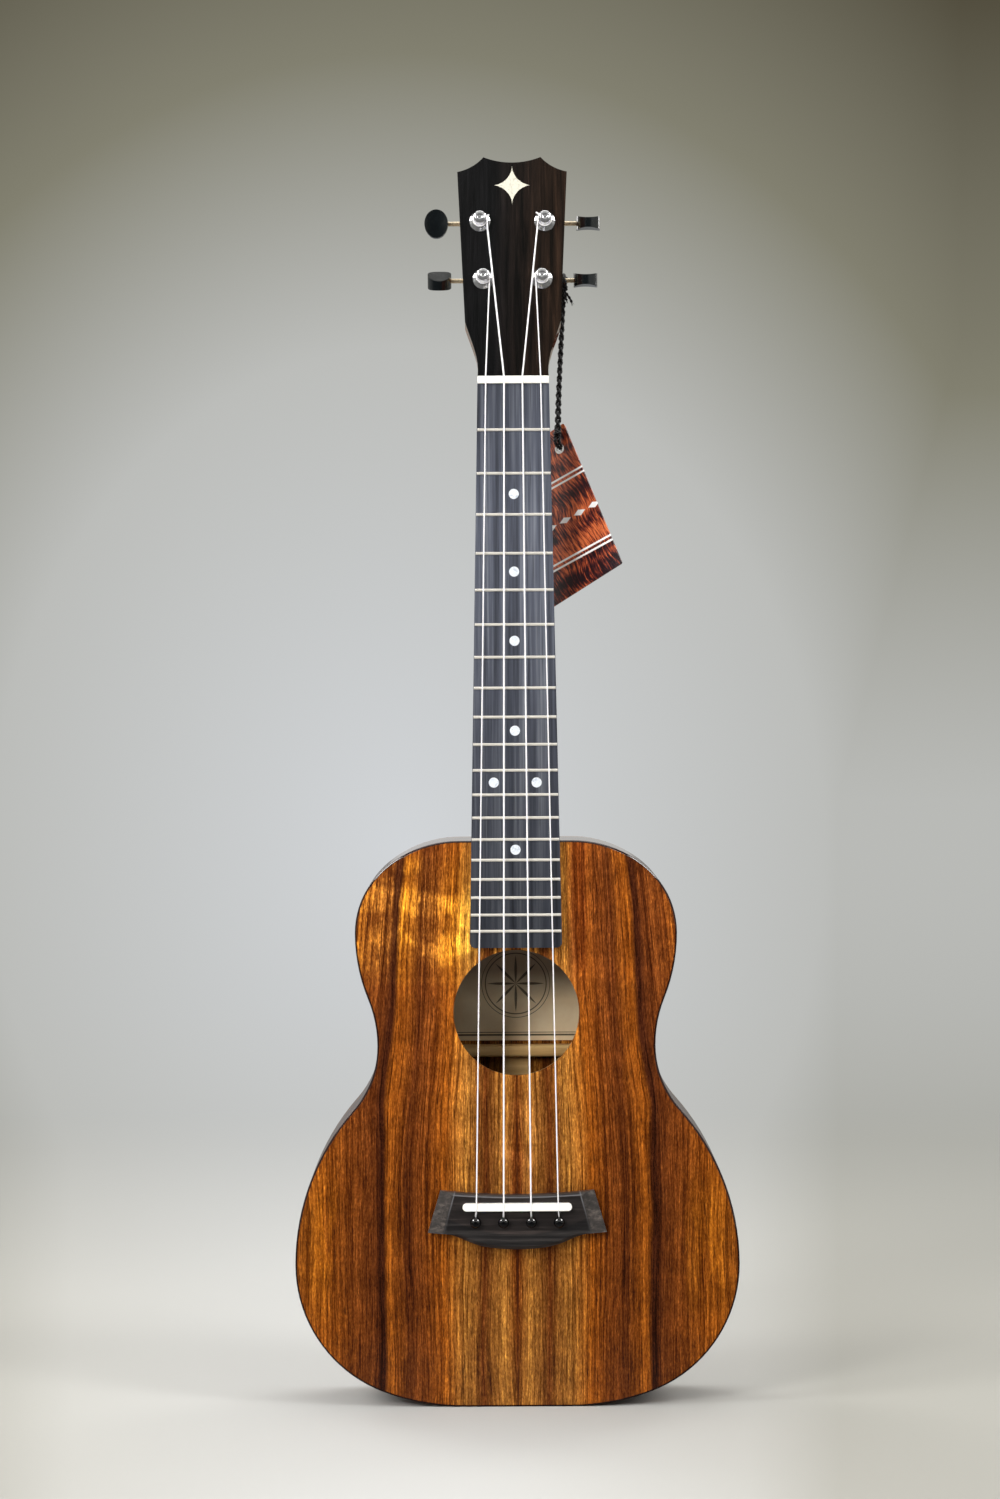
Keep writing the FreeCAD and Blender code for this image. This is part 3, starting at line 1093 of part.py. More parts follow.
def make_tag():
    """Stiff card hung by the hole in its upper corner."""
    hole, down, across, out = tag_frame()
    corner = hole - across * TAG_HOLE_FROM_SIDE - down * TAG_HOLE_FROM_END
    r = TAG_CORNER_R
    steps = [(0, 0), (TAG_WIDE, 0), (TAG_WIDE, TAG_LONG), (0, TAG_LONG)]
    points = [corner + across * a + down * d - out * (TAG_THICK / 2) for a, d in steps]
    card = Part.Face(Part.makePolygon(points + points[:1])).extrude(out * TAG_THICK)
    upright = [e for e in card.Edges if abs(e.Length - TAG_THICK) < 1e-6]
    card = card.makeFillet(r, upright)
    return card.cut(rod(TAG_HOLE_R + EYELET_WALL, hole - out * SPARE, hole + out * SPARE))


def make_eyelet():
    """Metal eyelet with a rim on each face of the card."""
    hole, _, _, out = tag_frame()
    half = TAG_THICK / 2
    barrel = rod(TAG_HOLE_R + EYELET_WALL, hole - out * (half + EYELET_RIM), hole + out * (half + EYELET_RIM))
    for side in (-1, 1):
        face, rim = hole + out * (side * half), hole + out * (side * (half + EYELET_RIM))
        barrel = barrel.fuse(rod(EYELET_R, face, rim))
    return barrel.cut(rod(TAG_HOLE_R, hole - out * SPARE, hole + out * SPARE)).removeSplitter()


def cord_path():
    """Straight runs joined by tangent arcs, each as large as its runs allow. Also the arcs' radii."""
    points = [V(*p) for p in CORD_POINTS]
    edges, radii = [], []
    at = points[0]
    for before, corner, after in zip(points, points[1:], points[2:]):
        back, ahead = before - corner, after - corner
        turn = math.pi - back.getAngle(ahead)
        reach = ARC_SHARE * min(back.Length, ahead.Length)
        radii.append(reach / math.tan(turn / 2))
        start = corner + back.normalize() * reach
        end = corner + ahead.normalize() * reach
        centre_way = (back + ahead).normalize()
        middle = corner + centre_way * (radii[-1] / math.cos(turn / 2) - radii[-1])
        edges += [line(at, start), arc(start, middle, end)]
        at = end
    edges.append(line(at, points[-1]))
    return edges, radii


def make_cord():
    """Tube along the cord's route, from the hitch to the knot behind the card."""
    edges, radii = cord_path()
    wire = Part.Wire(edges)
    start = V(*CORD_POINTS[0])
    ahead = V(*CORD_POINTS[1]) - start
    ring = Part.Wire([Part.makeCircle(CORD_R, start, ahead)])
    tube = wire.makePipeShell([ring], True, False)
    expected = math.pi * CORD_R ** 2 * wire.Length
    print("cord length %.1f, radii %s" % (wire.Length, [round(r, 1) for r in radii]))
    print("cord volume over section times length %.4f" % (tube.Volume / expected))
    return tube


def make_hitch():
    """The loose turns round the lower treble tuner's shaft and the knot under them, as plain round forms."""
    x, s = POST_PLACES["a"]
    centre = head_point(*worm_place(x, s))
    centre.x = HITCH_X
    half = V(2 * CORD_R, 0, 0)
    collar = rod(SHAFT_R + HITCH_CLEAR + 2 * CORD_R, centre - half, centre + half)
    start = V(*CORD_POINTS[0])
    ahead = (V(*CORD_POINTS[1]) - start).normalize()
    knot = rod(KNOT_R, start, start - ahead * KNOT_R)
    bore = rod(SHAFT_R + HITCH_CLEAR, centre - 2 * half, centre + 2 * half)
    return collar.fuse(knot).cut(bore).removeSplitter()


def make_end_knot():
    """Knot behind the card that keeps the cord in the eyelet."""
    end = V(*CORD_POINTS[-1])
    ahead = (end - V(*CORD_POINTS[-2])).normalize()
    ball = Part.makeSphere(KNOT_R, end + ahead * (KNOT_R - CORD_R))
    return ball.common(Part.makeCylinder(PAST, PAST, end, ahead))


# ---------------------------------------------------------------- headplate, inlay and dowels
def inlay_shape(y0, y1):
    """A four-pointed lozenge with hollow sides, in the headstock's flat frame."""
    h, waist = INLAY_HALF, INLAY_WAIST
    tips = [(0, INLAY_TALL_HALF), (h, 0), (0, -INLAY_TALL_HALF), (-h, 0)]
    edges = []
    for (ax, az), (bx, bz) in zip(tips, tips[1:] + tips[:1]):
        mid_x, mid_z = math.copysign(waist, ax + bx), math.copysign(waist, az + bz)
        corners = [V(px, y0, INLAY_S + pz) for px, pz in ((ax, az), (mid_x, mid_z), (bx, bz))]
        edges.append(arc(*corners))
    return extrude(edges, V(0, y1 - y0, 0))


def make_headplate():
    """Thin dark veneer on the headstock's face, butted against the nut."""
    flat = head_prism(0, HEADPLATE_THICK, -HEADPLATE_LEAD).cut(inlay_shape(-SPARE, INLAY_THICK))
    return on_head(flat).cut(box(-PAST, PAST, -PAST, PAST, 0, NUT_BACK_Z))


def dowels(radius):
    """Two pins across the joint between the heel and the neck block."""
    half = DOWEL_LONG / 2
    middle = BODY_LENGTH - DOWEL_SHIFT
    return [rod(radius, V(0, y, middle - half), V(0, y, middle + half)) for y in DOWEL_DEPTHS]


# ---------------------------------------------------------------- assembly
def main():
    """Builds every node and writes its file."""
    post_holes = Part.makeCompound([on_head(post_hole(x, s)) for x, s in POST_PLACES.values()])
    screw_holes = []
    for x, s in POST_PLACES.values():
        screw_holes += [on_head(bar) for bar in plate_screw_bars(x, s)]
    dowel_holes = Part.makeCompound(dowels(DOWEL_R))
    dot_seats = make_dots(DOT_R, DOT_THICK)
    space = inner_space()
    ring = lining_ring()
    back_braces = make_back_braces(space)

    pin_holes = pin_shafts(PIN_SHAFT_R + PIN_FIT)
    export([half.cut(pin_holes) for half in make_soundboard()], "soundboard")
    export(make_back(), "back_plate")
    side = make_side().cut(dowel_holes)
    export(side, "side_treble")
    export(mirrored(side), "side_bass")
    export(make_top_linings(ring), "top_linings")
    export(make_back_linings(ring), "back_linings")
    export(neck_block_shape().cut(dowel_holes), "neck_block")
    export(tail_block_shape(), "tail_block")
    lower = top_bar(WAIST_HALF + TOP_BRACE_PAST_WAIST, LOWER_BRACE_Z, TOP_BRACE_DEEP, BRACE_WIDE, space)
    upper = top_bar(UPPER_HALF, UPPER_BRACE_Z, TOP_BRACE_DEEP, BRACE_WIDE, space)
    export([upper, lower], "top_cross_braces")
    export(make_soundhole_braces(), "soundhole_braces")
    export(make_fan_braces(), "fan_braces")
    export(make_bridge_plate(), "bridge_plate")
    export(back_braces, "back_braces")
    export(make_seam_strip(space, back_braces), "back_seam_strip")
    export(make_label(space), "paper_label")

    neck = make_neck().cut(post_holes).cut(Part.makeCompound(screw_holes)).cut(dowel_holes)
    export(neck, "neck")
    export(dowels(DOWEL_R), "neck_dowels")
    export(make_heel_cap(), "heel_cap")
    export(make_headplate().cut(post_holes), "headplate")
    export(on_head(inlay_shape(0, INLAY_THICK)), "headplate_inlay")
    export(make_fretboard(), "fretboard")
    export(make_frets(), "frets")
    export(dot_seats, "position_dots")
    export(make_nut(), "nut")
    export(make_bridge(), "bridge")
    export(make_saddle(), "saddle")
    export(make_pins(), "bridge_pins")

    worm = make_worm()
    bushings, plates, screws = [], [], []
    for number, name in enumerate(STRING_NAMES):
        x, s = POST_PLACES[name]
        export(string_shape(number, STRING_R[name]), f"string_{name}")
        export(on_head(make_post(x, s)), f"tuner_post_{name}")
        export([on_head(piece) for piece in make_wheel(x, s)], f"tuner_wheel_{name}")
        export([on_head(piece) for piece in make_worm_shaft(x, s, worm)], f"tuner_worm_{name}")
        export(on_head(make_button(x, s, name)), f"tuner_button_{name}")
        export(on_head(make_winding(x, s, name)), f"string_winding_{name}")
        bushings.append(on_head(make_bushing(x, s)))
        plates.append(on_head(make_plate(x, s)))
        screws += [on_head(piece) for piece in make_plate_screws(x, s)]
    export(bushings, "tuner_bushings")
    export(plates, "tuner_plates")
    export(screws, "tuner_plate_screws")

    export(make_cord(), "tag_cord")
    export(make_hitch(), "tag_hitch")
    export(make_tag(), "hang_tag")
    export(make_eyelet(), "tag_eyelet")
    export(make_end_knot(), "tag_knot")


main()
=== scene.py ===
import bpy
import bmesh
import json
import math
import random
from mathutils import Matrix, Vector


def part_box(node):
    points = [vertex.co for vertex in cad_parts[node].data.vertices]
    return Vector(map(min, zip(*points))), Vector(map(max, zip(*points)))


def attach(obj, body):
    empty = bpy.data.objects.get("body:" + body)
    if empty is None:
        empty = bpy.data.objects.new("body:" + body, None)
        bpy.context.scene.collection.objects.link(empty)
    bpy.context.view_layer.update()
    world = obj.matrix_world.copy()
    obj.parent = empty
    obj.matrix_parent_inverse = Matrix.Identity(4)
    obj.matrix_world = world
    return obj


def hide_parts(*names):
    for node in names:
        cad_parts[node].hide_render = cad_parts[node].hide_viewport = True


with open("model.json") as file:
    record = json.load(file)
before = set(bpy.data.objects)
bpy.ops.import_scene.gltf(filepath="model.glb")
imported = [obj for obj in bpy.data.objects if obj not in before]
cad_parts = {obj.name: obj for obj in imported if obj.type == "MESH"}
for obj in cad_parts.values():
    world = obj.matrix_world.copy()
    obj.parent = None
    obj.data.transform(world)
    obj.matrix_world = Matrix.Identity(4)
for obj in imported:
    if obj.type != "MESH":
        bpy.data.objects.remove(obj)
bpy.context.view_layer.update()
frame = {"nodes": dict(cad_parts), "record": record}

# A tenor ukulele. The frame is in metres: +Z along the neck, the soundboard faces -Y, +X is the treble side.
scene = bpy.context.scene
scene.view_settings.view_transform = "Standard"
nodes = frame["nodes"]
joints = {joint["name"]: joint for joint in frame["record"]["behaviour"]["joints"]}
MM = 0.001


def centre(node):
    """Middle of a CAD node's box."""
    low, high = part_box(node)
    return (Vector(low) + Vector(high)) / 2


# ---------------------------------------------------------------- camera
CAMERA_AWAY = 2.2
CAMERA_HEIGHT_ANGLE = math.radians(1.0)
CAMERA_ROLL = math.radians(0.29)
CAMERA_AIM = Vector((-0.0079, -0.0405, 0.3475))
SENSOR = 36.0
IMAGE_TALL = 1499
PIXELS_PER_METRE = 1902.7


def make_camera():
    """A long lens that looks one degree down at the middle of the ukulele, with a very small roll."""
    data = bpy.data.cameras.new("camera")
    data.sensor_fit = "VERTICAL"
    data.sensor_height = SENSOR
    data.lens = SENSOR * PIXELS_PER_METRE * CAMERA_AWAY / IMAGE_TALL
    camera = bpy.data.objects.new("camera", data)
    scene.collection.objects.link(camera)
    back = Vector((0, -math.cos(CAMERA_HEIGHT_ANGLE), math.sin(CAMERA_HEIGHT_ANGLE)))
    camera.location = CAMERA_AIM + back * CAMERA_AWAY
    look = (CAMERA_AIM - camera.location).to_track_quat("-Z", "Y").to_matrix()
    camera.rotation_euler = (look @ Matrix.Rotation(-CAMERA_ROLL, 3, "Z")).to_euler()
    scene.camera = camera
    return camera


camera = make_camera()


# ---------------------------------------------------------------- node helpers
WHITE = (1.0, 1.0, 1.0)
# Noise nearly always lies between these
NOISE_LOW, NOISE_HIGH = 0.3, 0.7


class Nodes:
    """Short calls that add shader nodes to one material, or to the world."""

    def __init__(self, name, world=None):
        self.material = world or bpy.data.materials.new(name)
        self.material.use_nodes = True
        self.tree = self.material.node_tree
        self.shader = self.tree.nodes.get("Principled BSDF")

    def add(self, kind, **inputs):
        """A new node with some inputs given or joined."""
        node = self.tree.nodes.new("ShaderNode" + kind)
        for name, value in inputs.items():
            self.put(node, name.replace("_", " "), value)
        return node

    def link(self, out, into):
        """Joins an output to an input."""
        self.tree.links.new(out, into)

    def put(self, node, name, value):
        """Gives an input a value, or joins it to an output."""
        if isinstance(value, bpy.types.NodeSocket):
            self.link(value, node.inputs[name])
        else:
            node.inputs[name].default_value = value

    def place(self, scale=(1, 1, 1), source=None, shift=(0, 0, 0)):
        """A point, scaled and shifted. Without a source it is the object's own point, in metres."""
        source = source or self.add("TexCoord").outputs["Object"]
        return self.add("Mapping", Vector=source, Scale=scale, Location=shift).outputs["Vector"]

    def noise(self, scale, detail, rough=0.5, distort=0.0, source=None, shift=(0, 0, 0)):
        """Smooth noise from 0 to 1. scale: how often it changes in a metre, along each axis."""
        return self.add("TexNoise", Vector=self.place(scale, source, shift), Scale=1.0, Detail=detail,
                        Roughness=rough, Distortion=distort).outputs["Fac"]

    def maths(self, operation, *values, clamp=False):
        """One sum on numbers or outputs."""
        node = self.add("Math")
        node.operation = operation
        node.use_clamp = clamp
        for index, value in enumerate(values):
            self.put(node, index, value)
        return node.outputs[0]

    def product(self, first, *others):
        """The product of numbers or outputs."""
        for value in others:
            first = self.maths("MULTIPLY", first, value)
        return first

    def gap(self, first, second):
        """How far two values are apart."""
        return self.maths("ABSOLUTE", self.maths("SUBTRACT", first, second))

    def radius(self, x, y):
        """Distance from zero of a place given by two values."""
        return self.maths("SQRT", self.maths("ADD", self.product(x, x), self.product(y, y)))

    def ramp(self, fac, stops):
        """Colours at places from 0 to 1."""
        node = self.add("ValToRGB", Fac=fac)
        elements = node.color_ramp.elements
        while len(elements) < len(stops):
            elements.new(0.5)
        for element, (place, colour) in zip(elements, stops):
            element.position = place
            element.color = (*colour, 1)
        return node.outputs["Color"]

    def tones(self, fac, dark, light, low=NOISE_LOW, high=NOISE_HIGH):
        """From one colour at low to another at high."""
        return self.ramp(fac, ((low, dark), (high, light)))

    def spread(self, fac, low, high, to_low=0.0, to_high=1.0):
        """Maps low..high to another range, clamped."""
        return self.add("MapRange", Value=fac, From_Min=low, From_Max=high, To_Min=to_low,
                        To_Max=to_high).outputs["Result"]

    def levels(self, value, stops, low, high):
        """A brightness that changes as a value goes from low to high."""
        places = [((at - low) / (high - low), (level,) * 3) for at, level in stops]
        return self.ramp(self.spread(value, low, high), places)

    def sway(self, noise, reach):
        """A noise as a shift of up to reach, to either side."""
        return self.spread(noise, NOISE_LOW, NOISE_HIGH, -reach, reach)

    def mix(self, fac, first, second, blend="MIX"):
        """Mixes two colours."""
        node = self.add("Mix")
        node.data_type = "RGBA"
        node.blend_type = blend
        self.put(node, "Factor", fac)
        for index, value in ((6, first), (7, second)):
            if isinstance(value, bpy.types.NodeSocket):
                self.link(value, node.inputs[index])
            else:
                node.inputs[index].default_value = (*value, 1)
        return node.outputs[2]

    def tint(self, tone, by, amount=1.0):
        """Multiplies a colour by another, by some amount."""
        return self.mix(amount, tone, by, "MULTIPLY")

    def parts(self, vector):
        """The x, y and z of a vector."""
        return self.add("SeparateXYZ", Vector=vector).outputs

    def length(self, vector):
        """Length of a vector."""
        node = self.add("VectorMath")
        node.operation = "LENGTH"
        self.link(vector, node.inputs[0])
        return node.outputs["Value"]

    def joined(self, x, y, z):
        """A vector from three numbers or outputs."""
        return self.add("CombineXYZ", X=x, Y=y, Z=z).outputs[0]

    def blended(self, fac, first, second):
        """Mixes two shaders."""
        node = self.add("MixShader", Fac=fac)
        self.link(first, node.inputs[1])
        self.link(second, node.inputs[2])
        return node.outputs[0]

    def bump(self, height, strength, distance):
        """Small relief on the surface."""
        node = self.add("Bump", Height=height, Strength=strength, Distance=distance)
        self.link(node.outputs["Normal"], self.shader.inputs["Normal"])

    def surface(self, colour=None, rough=None, **others):
        """Sets the shader's sockets by name, with _ for a space."""
        if colour is not None:
            value = colour if isinstance(colour, bpy.types.NodeSocket) else (*colour, 1)
            self.put(self.shader, "Base Color", value)
        if rough is not None:
            self.put(self.shader, "Roughness", rough)
        for name, value in others.items():
            self.put(self.shader, name.replace("_", " "), value)
        return self.material


def paint(red, green, blue):
    """A colour as it looks on a screen, from 0 to 255, as the shader's linear numbers."""
    def linear(value):
        share = value / 255
        return share / 12.92 if share <= 0.04045 else ((share + 0.055) / 1.055) ** 2.4
    return (linear(red), linear(green), linear(blue))


def painted(stops, span=1.0):
    """Colours at places along a span, as a ramp takes them."""
    return [(at / span, paint(*colour)) for at, colour in stops]


def window(n, value, middle, full, none):
    """1 where a value is within full of the middle, and 0 past none."""
    return n.spread(n.gap(value, middle), none, full)


def swing(n, tone, noise, dark, light, low=0.36, high=0.64):
    """Multiplies a tone by a noise: dark at low, unchanged halfway and light at high."""
    return n.tint(tone, n.ramp(noise, ((low, dark), (0.5, WHITE), (high, light))))


def ruled(n, tone, value, middle, wide, sharp, amount, ink):
    """Draws a line of ink where a value is within wide of the middle. sharp: the solid share of its width."""
    return n.mix(n.spread(n.gap(value, middle), wide, wide * sharp, 0.0, amount), tone, ink)


# ---------------------------------------------------------------- koa
# Koa's five tones, and its growth bands as they are seen from the seam to the edge, in mm
VEIN, UMBER, RUSSET, AMBER, GOLD = (52, 22, 9), (82, 39, 14), (104, 52, 17), (136, 72, 19), (154, 100, 42)
KOA_BANDS = (
    (0, RUSSET),
    (6, GOLD),
    (17, UMBER),
    (27, GOLD),
    (38, AMBER),
    (48, RUSSET),
    (57, UMBER),
    (67, AMBER),
    (70, VEIN),
    (72, VEIN),
    (75, UMBER),
    (88, RUSSET),
    (105, AMBER),
    (116, RUSSET),
)
# The sides' bands, from the soundboard backwards
SIDE_BANDS = ((0, UMBER), (14, AMBER), (34, VEIN), (56, GOLD), (66, UMBER), (80, AMBER), (100, RUSSET))
# How far the soundboard lies in front of the frame's middle
FACE_AHEAD = 0.035
KOA_SPAN = 0.120
# How far the grain strays to either side, slowly and fast, and the height from which its bands fan out
DRIFT, WAVER = 0.0030, 0.0012
FAN_FROM = 0.16
DARKER, LIGHTER = (0.40, 0.33, 0.30), (1.6, 1.72, 1.65)
PORE = paint(46, 20, 8)
SEAM_THIN, SEAM_WIDE, SEAM_COLOUR = 0.00012, 0.00045, paint(52, 26, 14)
# A plate's rim is painted darker as its face turns away, as painted shade for the dark reflection on its
# rounded edge: how squarely it still faces front at the start and at the end
RIM_START, RIM_END, RIM_SHADE_COLOUR = 0.985, 0.90, paint(30, 12, 9)


def koa(name, across=0, bands=KOA_BANDS, fan=1.3, seam=0.0):
    """Figured koa before its lacquer, with its grain up the body, mirrored at the seam.

    across: the axis over the growth bands. fan: how fast the bands spread apart above FAN_FROM.
    """
    n = Nodes(name)
    spot = n.parts(n.place())
    x, third, z = spot[across], spot[1 - across], spot[2]
    away = n.maths("ABSOLUTE", n.maths("ADD", x, seam))
    # The grain wavers: a slow drift that both halves share, and a fast one of their own
    own = n.joined(x, third, z)
    drift = n.noise((9, 1, 3.2), 2.0, source=n.joined(away, third, z))
    waver = n.noise((70, 9, 11), 3.0, source=own)
    sway = n.maths("ADD", n.sway(drift, DRIFT), n.sway(waver, WAVER))
    fan_share = n.product(n.maths("MAXIMUM", n.maths("SUBTRACT", z, FAN_FROM), 0.0), fan)
    u = n.maths("ADD", n.product(away, n.maths("ADD", fan_share, 1.0)), sway)
    tone = n.ramp(n.maths("DIVIDE", u, KOA_SPAN, clamp=True), painted(bands, KOA_SPAN / MM))
    grain = n.joined(u, third, z)
    # Veins along the grain, dark and light, then finer lines, dark pores, flecks and grit
    veins = n.noise((560, 50, 5.5), 5.0, 0.68, source=grain)
    tone = n.tint(tone, DARKER, n.spread(veins, 0.50, 0.38, 0.0, 0.9))
    tone = n.tint(tone, LIGHTER, n.spread(veins, 0.52, 0.64, 0.0, 0.8))
    lines = n.noise((1500, 120, 32), 3.0, 0.7, source=grain)
    tone = swing(n, tone, lines, (0.50, 0.44, 0.40), (1.5, 1.55, 1.5))
    pores = n.noise((2300, 300, 120), 2.0, 0.6, source=own)
    tone = n.mix(n.spread(pores, 0.57, 0.68, 0.0, 0.8), tone, PORE)
    flecks = n.noise((1300, 300, 300), 3.0, 0.7, source=own, shift=(3.7, 1.1, 5.3))
    tone = n.tint(tone, (1.9, 2.1, 1.9), n.spread(flecks, 0.53, 0.68, 0.0, 0.8))
    tone = n.tint(tone, (0.55, 0.48, 0.45), n.spread(flecks, 0.46, 0.34, 0.0, 0.7))
    grit = n.noise((1500, 900, 620), 1.0, source=own, shift=(1.9, 7.3, 2.6))
    tone = swing(n, tone, grit, (0.80, 0.76, 0.73), (1.16, 1.20, 1.20))
    # Curl across the grain
    curl = n.noise((42, 24, 80), 2.0, 0.5, 0.4, source=own)
    tone = swing(n, tone, curl, (0.84, 0.82, 0.80), (1.2, 1.2, 1.18), 0.32, 0.70)
    return n, tone, {"x": x, "z": z, "away": away, "curl": curl, "own": own}


def lacquer(n, tone, rough=0.3, coat_rough=0.04):
    """A gloss coat over coloured wood."""
    return n.surface(tone, rough, Coat_Weight=1.0, Coat_Roughness=coat_rough, Coat_IOR=1.5,
                     Specular_IOR_Level=0.0)


def koa_plate(n, tone, away):
    """A bookmatched plate: its thin dark seam, its rim darkened with painted shade, and its lacquer."""
    tone = n.mix(n.spread(away, SEAM_THIN, SEAM_WIDE, 0.8, 0.0), tone, SEAM_COLOUR)
    # Painted shade: the rim's colour darkens where the face turns away from the front
    turn = n.add("VectorTransform", Vector=n.add("NewGeometry").outputs["Normal"])
    turn.vector_type = "NORMAL"
    turn.convert_from, turn.convert_to = "WORLD", "OBJECT"
    facing = n.maths("ABSOLUTE", n.parts(turn.outputs[0])[1])
    return lacquer(n, n.mix(n.spread(facing, RIM_START, RIM_END, 0.0, 0.97), tone, RIM_SHADE_COLOUR))


# Patches on the soundboard, in metres. Two numbers are where a patch starts and where it is full. Three are
# its middle, how far from that it is full, and how far from that it has ended. AWAY is counted from the seam
# Painted light: the soundboard is painted paler upwards, from the first height to the second
LIT_UPPER_Z = (0.10, 0.26)
GOLD_AWAY, GOLD_Z, GOLD_RAGGED = (0.094, 0.101), (0.085, 0.015, 0.045), 0.012
# The bass side's painted sheen on the curl: where it lies across and up
SHINE_X, SHINE_Z = (-0.019, -0.031), (0.258, 0.014, 0.036)
STRIPE_X, STRIPE_Z = (0.033, 0.003, 0.006), (0.20, 0.24)
FLAME_AWAY, FLAME_Z = (0.0, 0.006, 0.014), (0.130, 0.012, 0.045)


def koa_top():
    """Soundboard: figured at its middle, with a painted sheen on the curl high on its bass side, gold patches
    at the lower edges, and painted light that makes it paler towards its upper bout.
    """
    n, tone, at = koa("koa_top")
    x, z, away = at["x"], at["z"], at["away"]
    # Painted light: paler towards the upper bout, where more light falls
    tone = n.tint(tone, (1.45, 1.45, 1.5), n.spread(z, *LIT_UPPER_Z))
    # Gold patches with ragged edges
    ragged = n.noise((90, 9, 16), 5.0, 0.65, source=at["own"])
    edge = n.maths("ADD", away, n.sway(ragged, GOLD_RAGGED))
    gold = n.product(n.spread(edge, *GOLD_AWAY), window(n, z, *GOLD_Z))
    tone = n.tint(tone, (1.3, 1.42, 1.1), gold)
    # A painted sheen: curl that catches the light, on the paler timber of the bass side
    bright = n.spread(at["curl"], 0.42, 0.60, 0.25, 1.0)
    timber = n.spread(n.parts(tone)[0], 0.08, 0.24, 0.25, 1.0)
    shine = n.product(n.spread(x, *SHINE_X), window(n, z, *SHINE_Z), timber, bright)
    tone = n.tint(tone, (3.0, 4.2, 3.2), shine)
    # A dark stripe at the upper bout's treble side, and flame about the seam
    tone = n.tint(tone, (0.6, 0.5, 0.7), n.product(window(n, x, *STRIPE_X), n.spread(z, *STRIPE_Z)))
    flame = n.product(window(n, away, *FLAME_AWAY), window(n, z, *FLAME_Z), bright)
    tone = n.tint(tone, (1.35, 1.4, 1.75), flame)
    return koa_plate(n, tone, away)


def koa_back():
    """Back: the same timber, without the bright patches."""
    n, tone, at = koa("koa_back", fan=0.8)
    return koa_plate(n, tone, at["away"])


def koa_side():
    """Sides: the bands lie across the body's depth."""
    n, tone, _ = koa("koa_side", 1, SIDE_BANDS, fan=0.0, seam=FACE_AHEAD)
    return lacquer(n, tone, coat_rough=0.06)


# ---------------------------------------------------------------- other woods
def mahogany(name, dark, light, gloss=True):
    """Straight-grained red-brown wood with short pores."""
    n = Nodes(name)
    streak = n.noise((260, 260, 5), 4.0, 0.6, 0.4)
    fine = n.noise((1800, 1800, 26), 3.0, 0.6)
    pores = n.noise((2400, 2400, 160), 1.0)
    tone = n.tones(streak, paint(*dark), paint(*light))
    tone = n.tint(tone, n.tones(fine, (0.5, 0.45, 0.42), (1.25, 1.2, 1.15)), 0.7)
    tone = n.mix(n.spread(pores, 0.62, 0.70, 0.0, 0.75), tone, paint(36, 15, 9))
    if gloss:
        return lacquer(n, tone)
    n.bump(fine, 0.3, 0.0001)
    return n.surface(tone, 0.62)


def pale_wood(name, dark, light):
    """Unfinished close-grained wood inside the body."""
    n = Nodes(name)
    lines = n.noise((18, 420, 420), 3.0, 0.6)
    n.bump(lines, 0.25, 0.0001)
    return n.surface(n.tones(lines, paint(*dark), paint(*light)), 0.7)


def ebony(name, base, light, rough, grain, pores, painted_light=None):
    """Very dark oiled wood with grey streaks. grain: how fine it is on each axis. The last argument, when
    given, paints light, shade and highlights into its tone.
    """
    n = Nodes(name)
    streak = n.noise(grain, 4.0, 0.65, 0.2)
    broad = n.noise([part * 0.3 for part in grain], 2.0)
    deep = [0.72 * part for part in base]
    tone = n.ramp(streak, ((0.30, paint(*deep)), (0.5, paint(*base)), (0.74, paint(*light))))
    tone = n.tint(tone, n.tones(broad, (0.7, 0.7, 0.7), (1.2, 1.18, 1.15)), 0.6)
    dash = n.noise([part * 3.4 for part in grain], 2.0)
    tone = n.mix(n.spread(dash, 0.60, 0.72, 0.0, pores), tone, paint(14, 13, 14))
    # Painted light, shade and highlights, when given
    if painted_light:
        tone = painted_light(n, tone)
    n.bump(dash, 0.35, 0.00012)
    return n.surface(tone, rough, Specular_IOR_Level=0.5)


# The fretboard's brightness up its length (m): it catches most light at its middle frets
BOARD_RISE = ((0.25, 0.45), (0.47, 1.6), (0.53, 1.1))
# The bridge's slanted ridges: how far out they are (m), the height at which that is so, and their slant
RIDGE_IN, RIDGE_OUT, RIDGE_HIGH, RIDGE_SLANT = 0.0334, 0.0342, 0.1128, 0.27
# Heights (m) and bends (1/m) of the curves along the bridge's top edge and over its belly, which is painted
# dark as shade
EDGE_HIGH, EDGE_BEND = 0.1117, 1.15
BELLY_LOW, BELLY_HIGH, BELLY_BEND = 0.0915, 0.0925, 6.5
# Colour of the painted highlights where the bridge's edges catch light
EDGE_HIGHLIGHT_COLOUR = paint(142, 143, 148)


def board_light(n, tone):
    """The light along the fretboard."""
    return n.tint(tone, n.levels(n.parts(n.place())[2], BOARD_RISE, BOARD_RISE[0][0], BOARD_RISE[-1][0]))


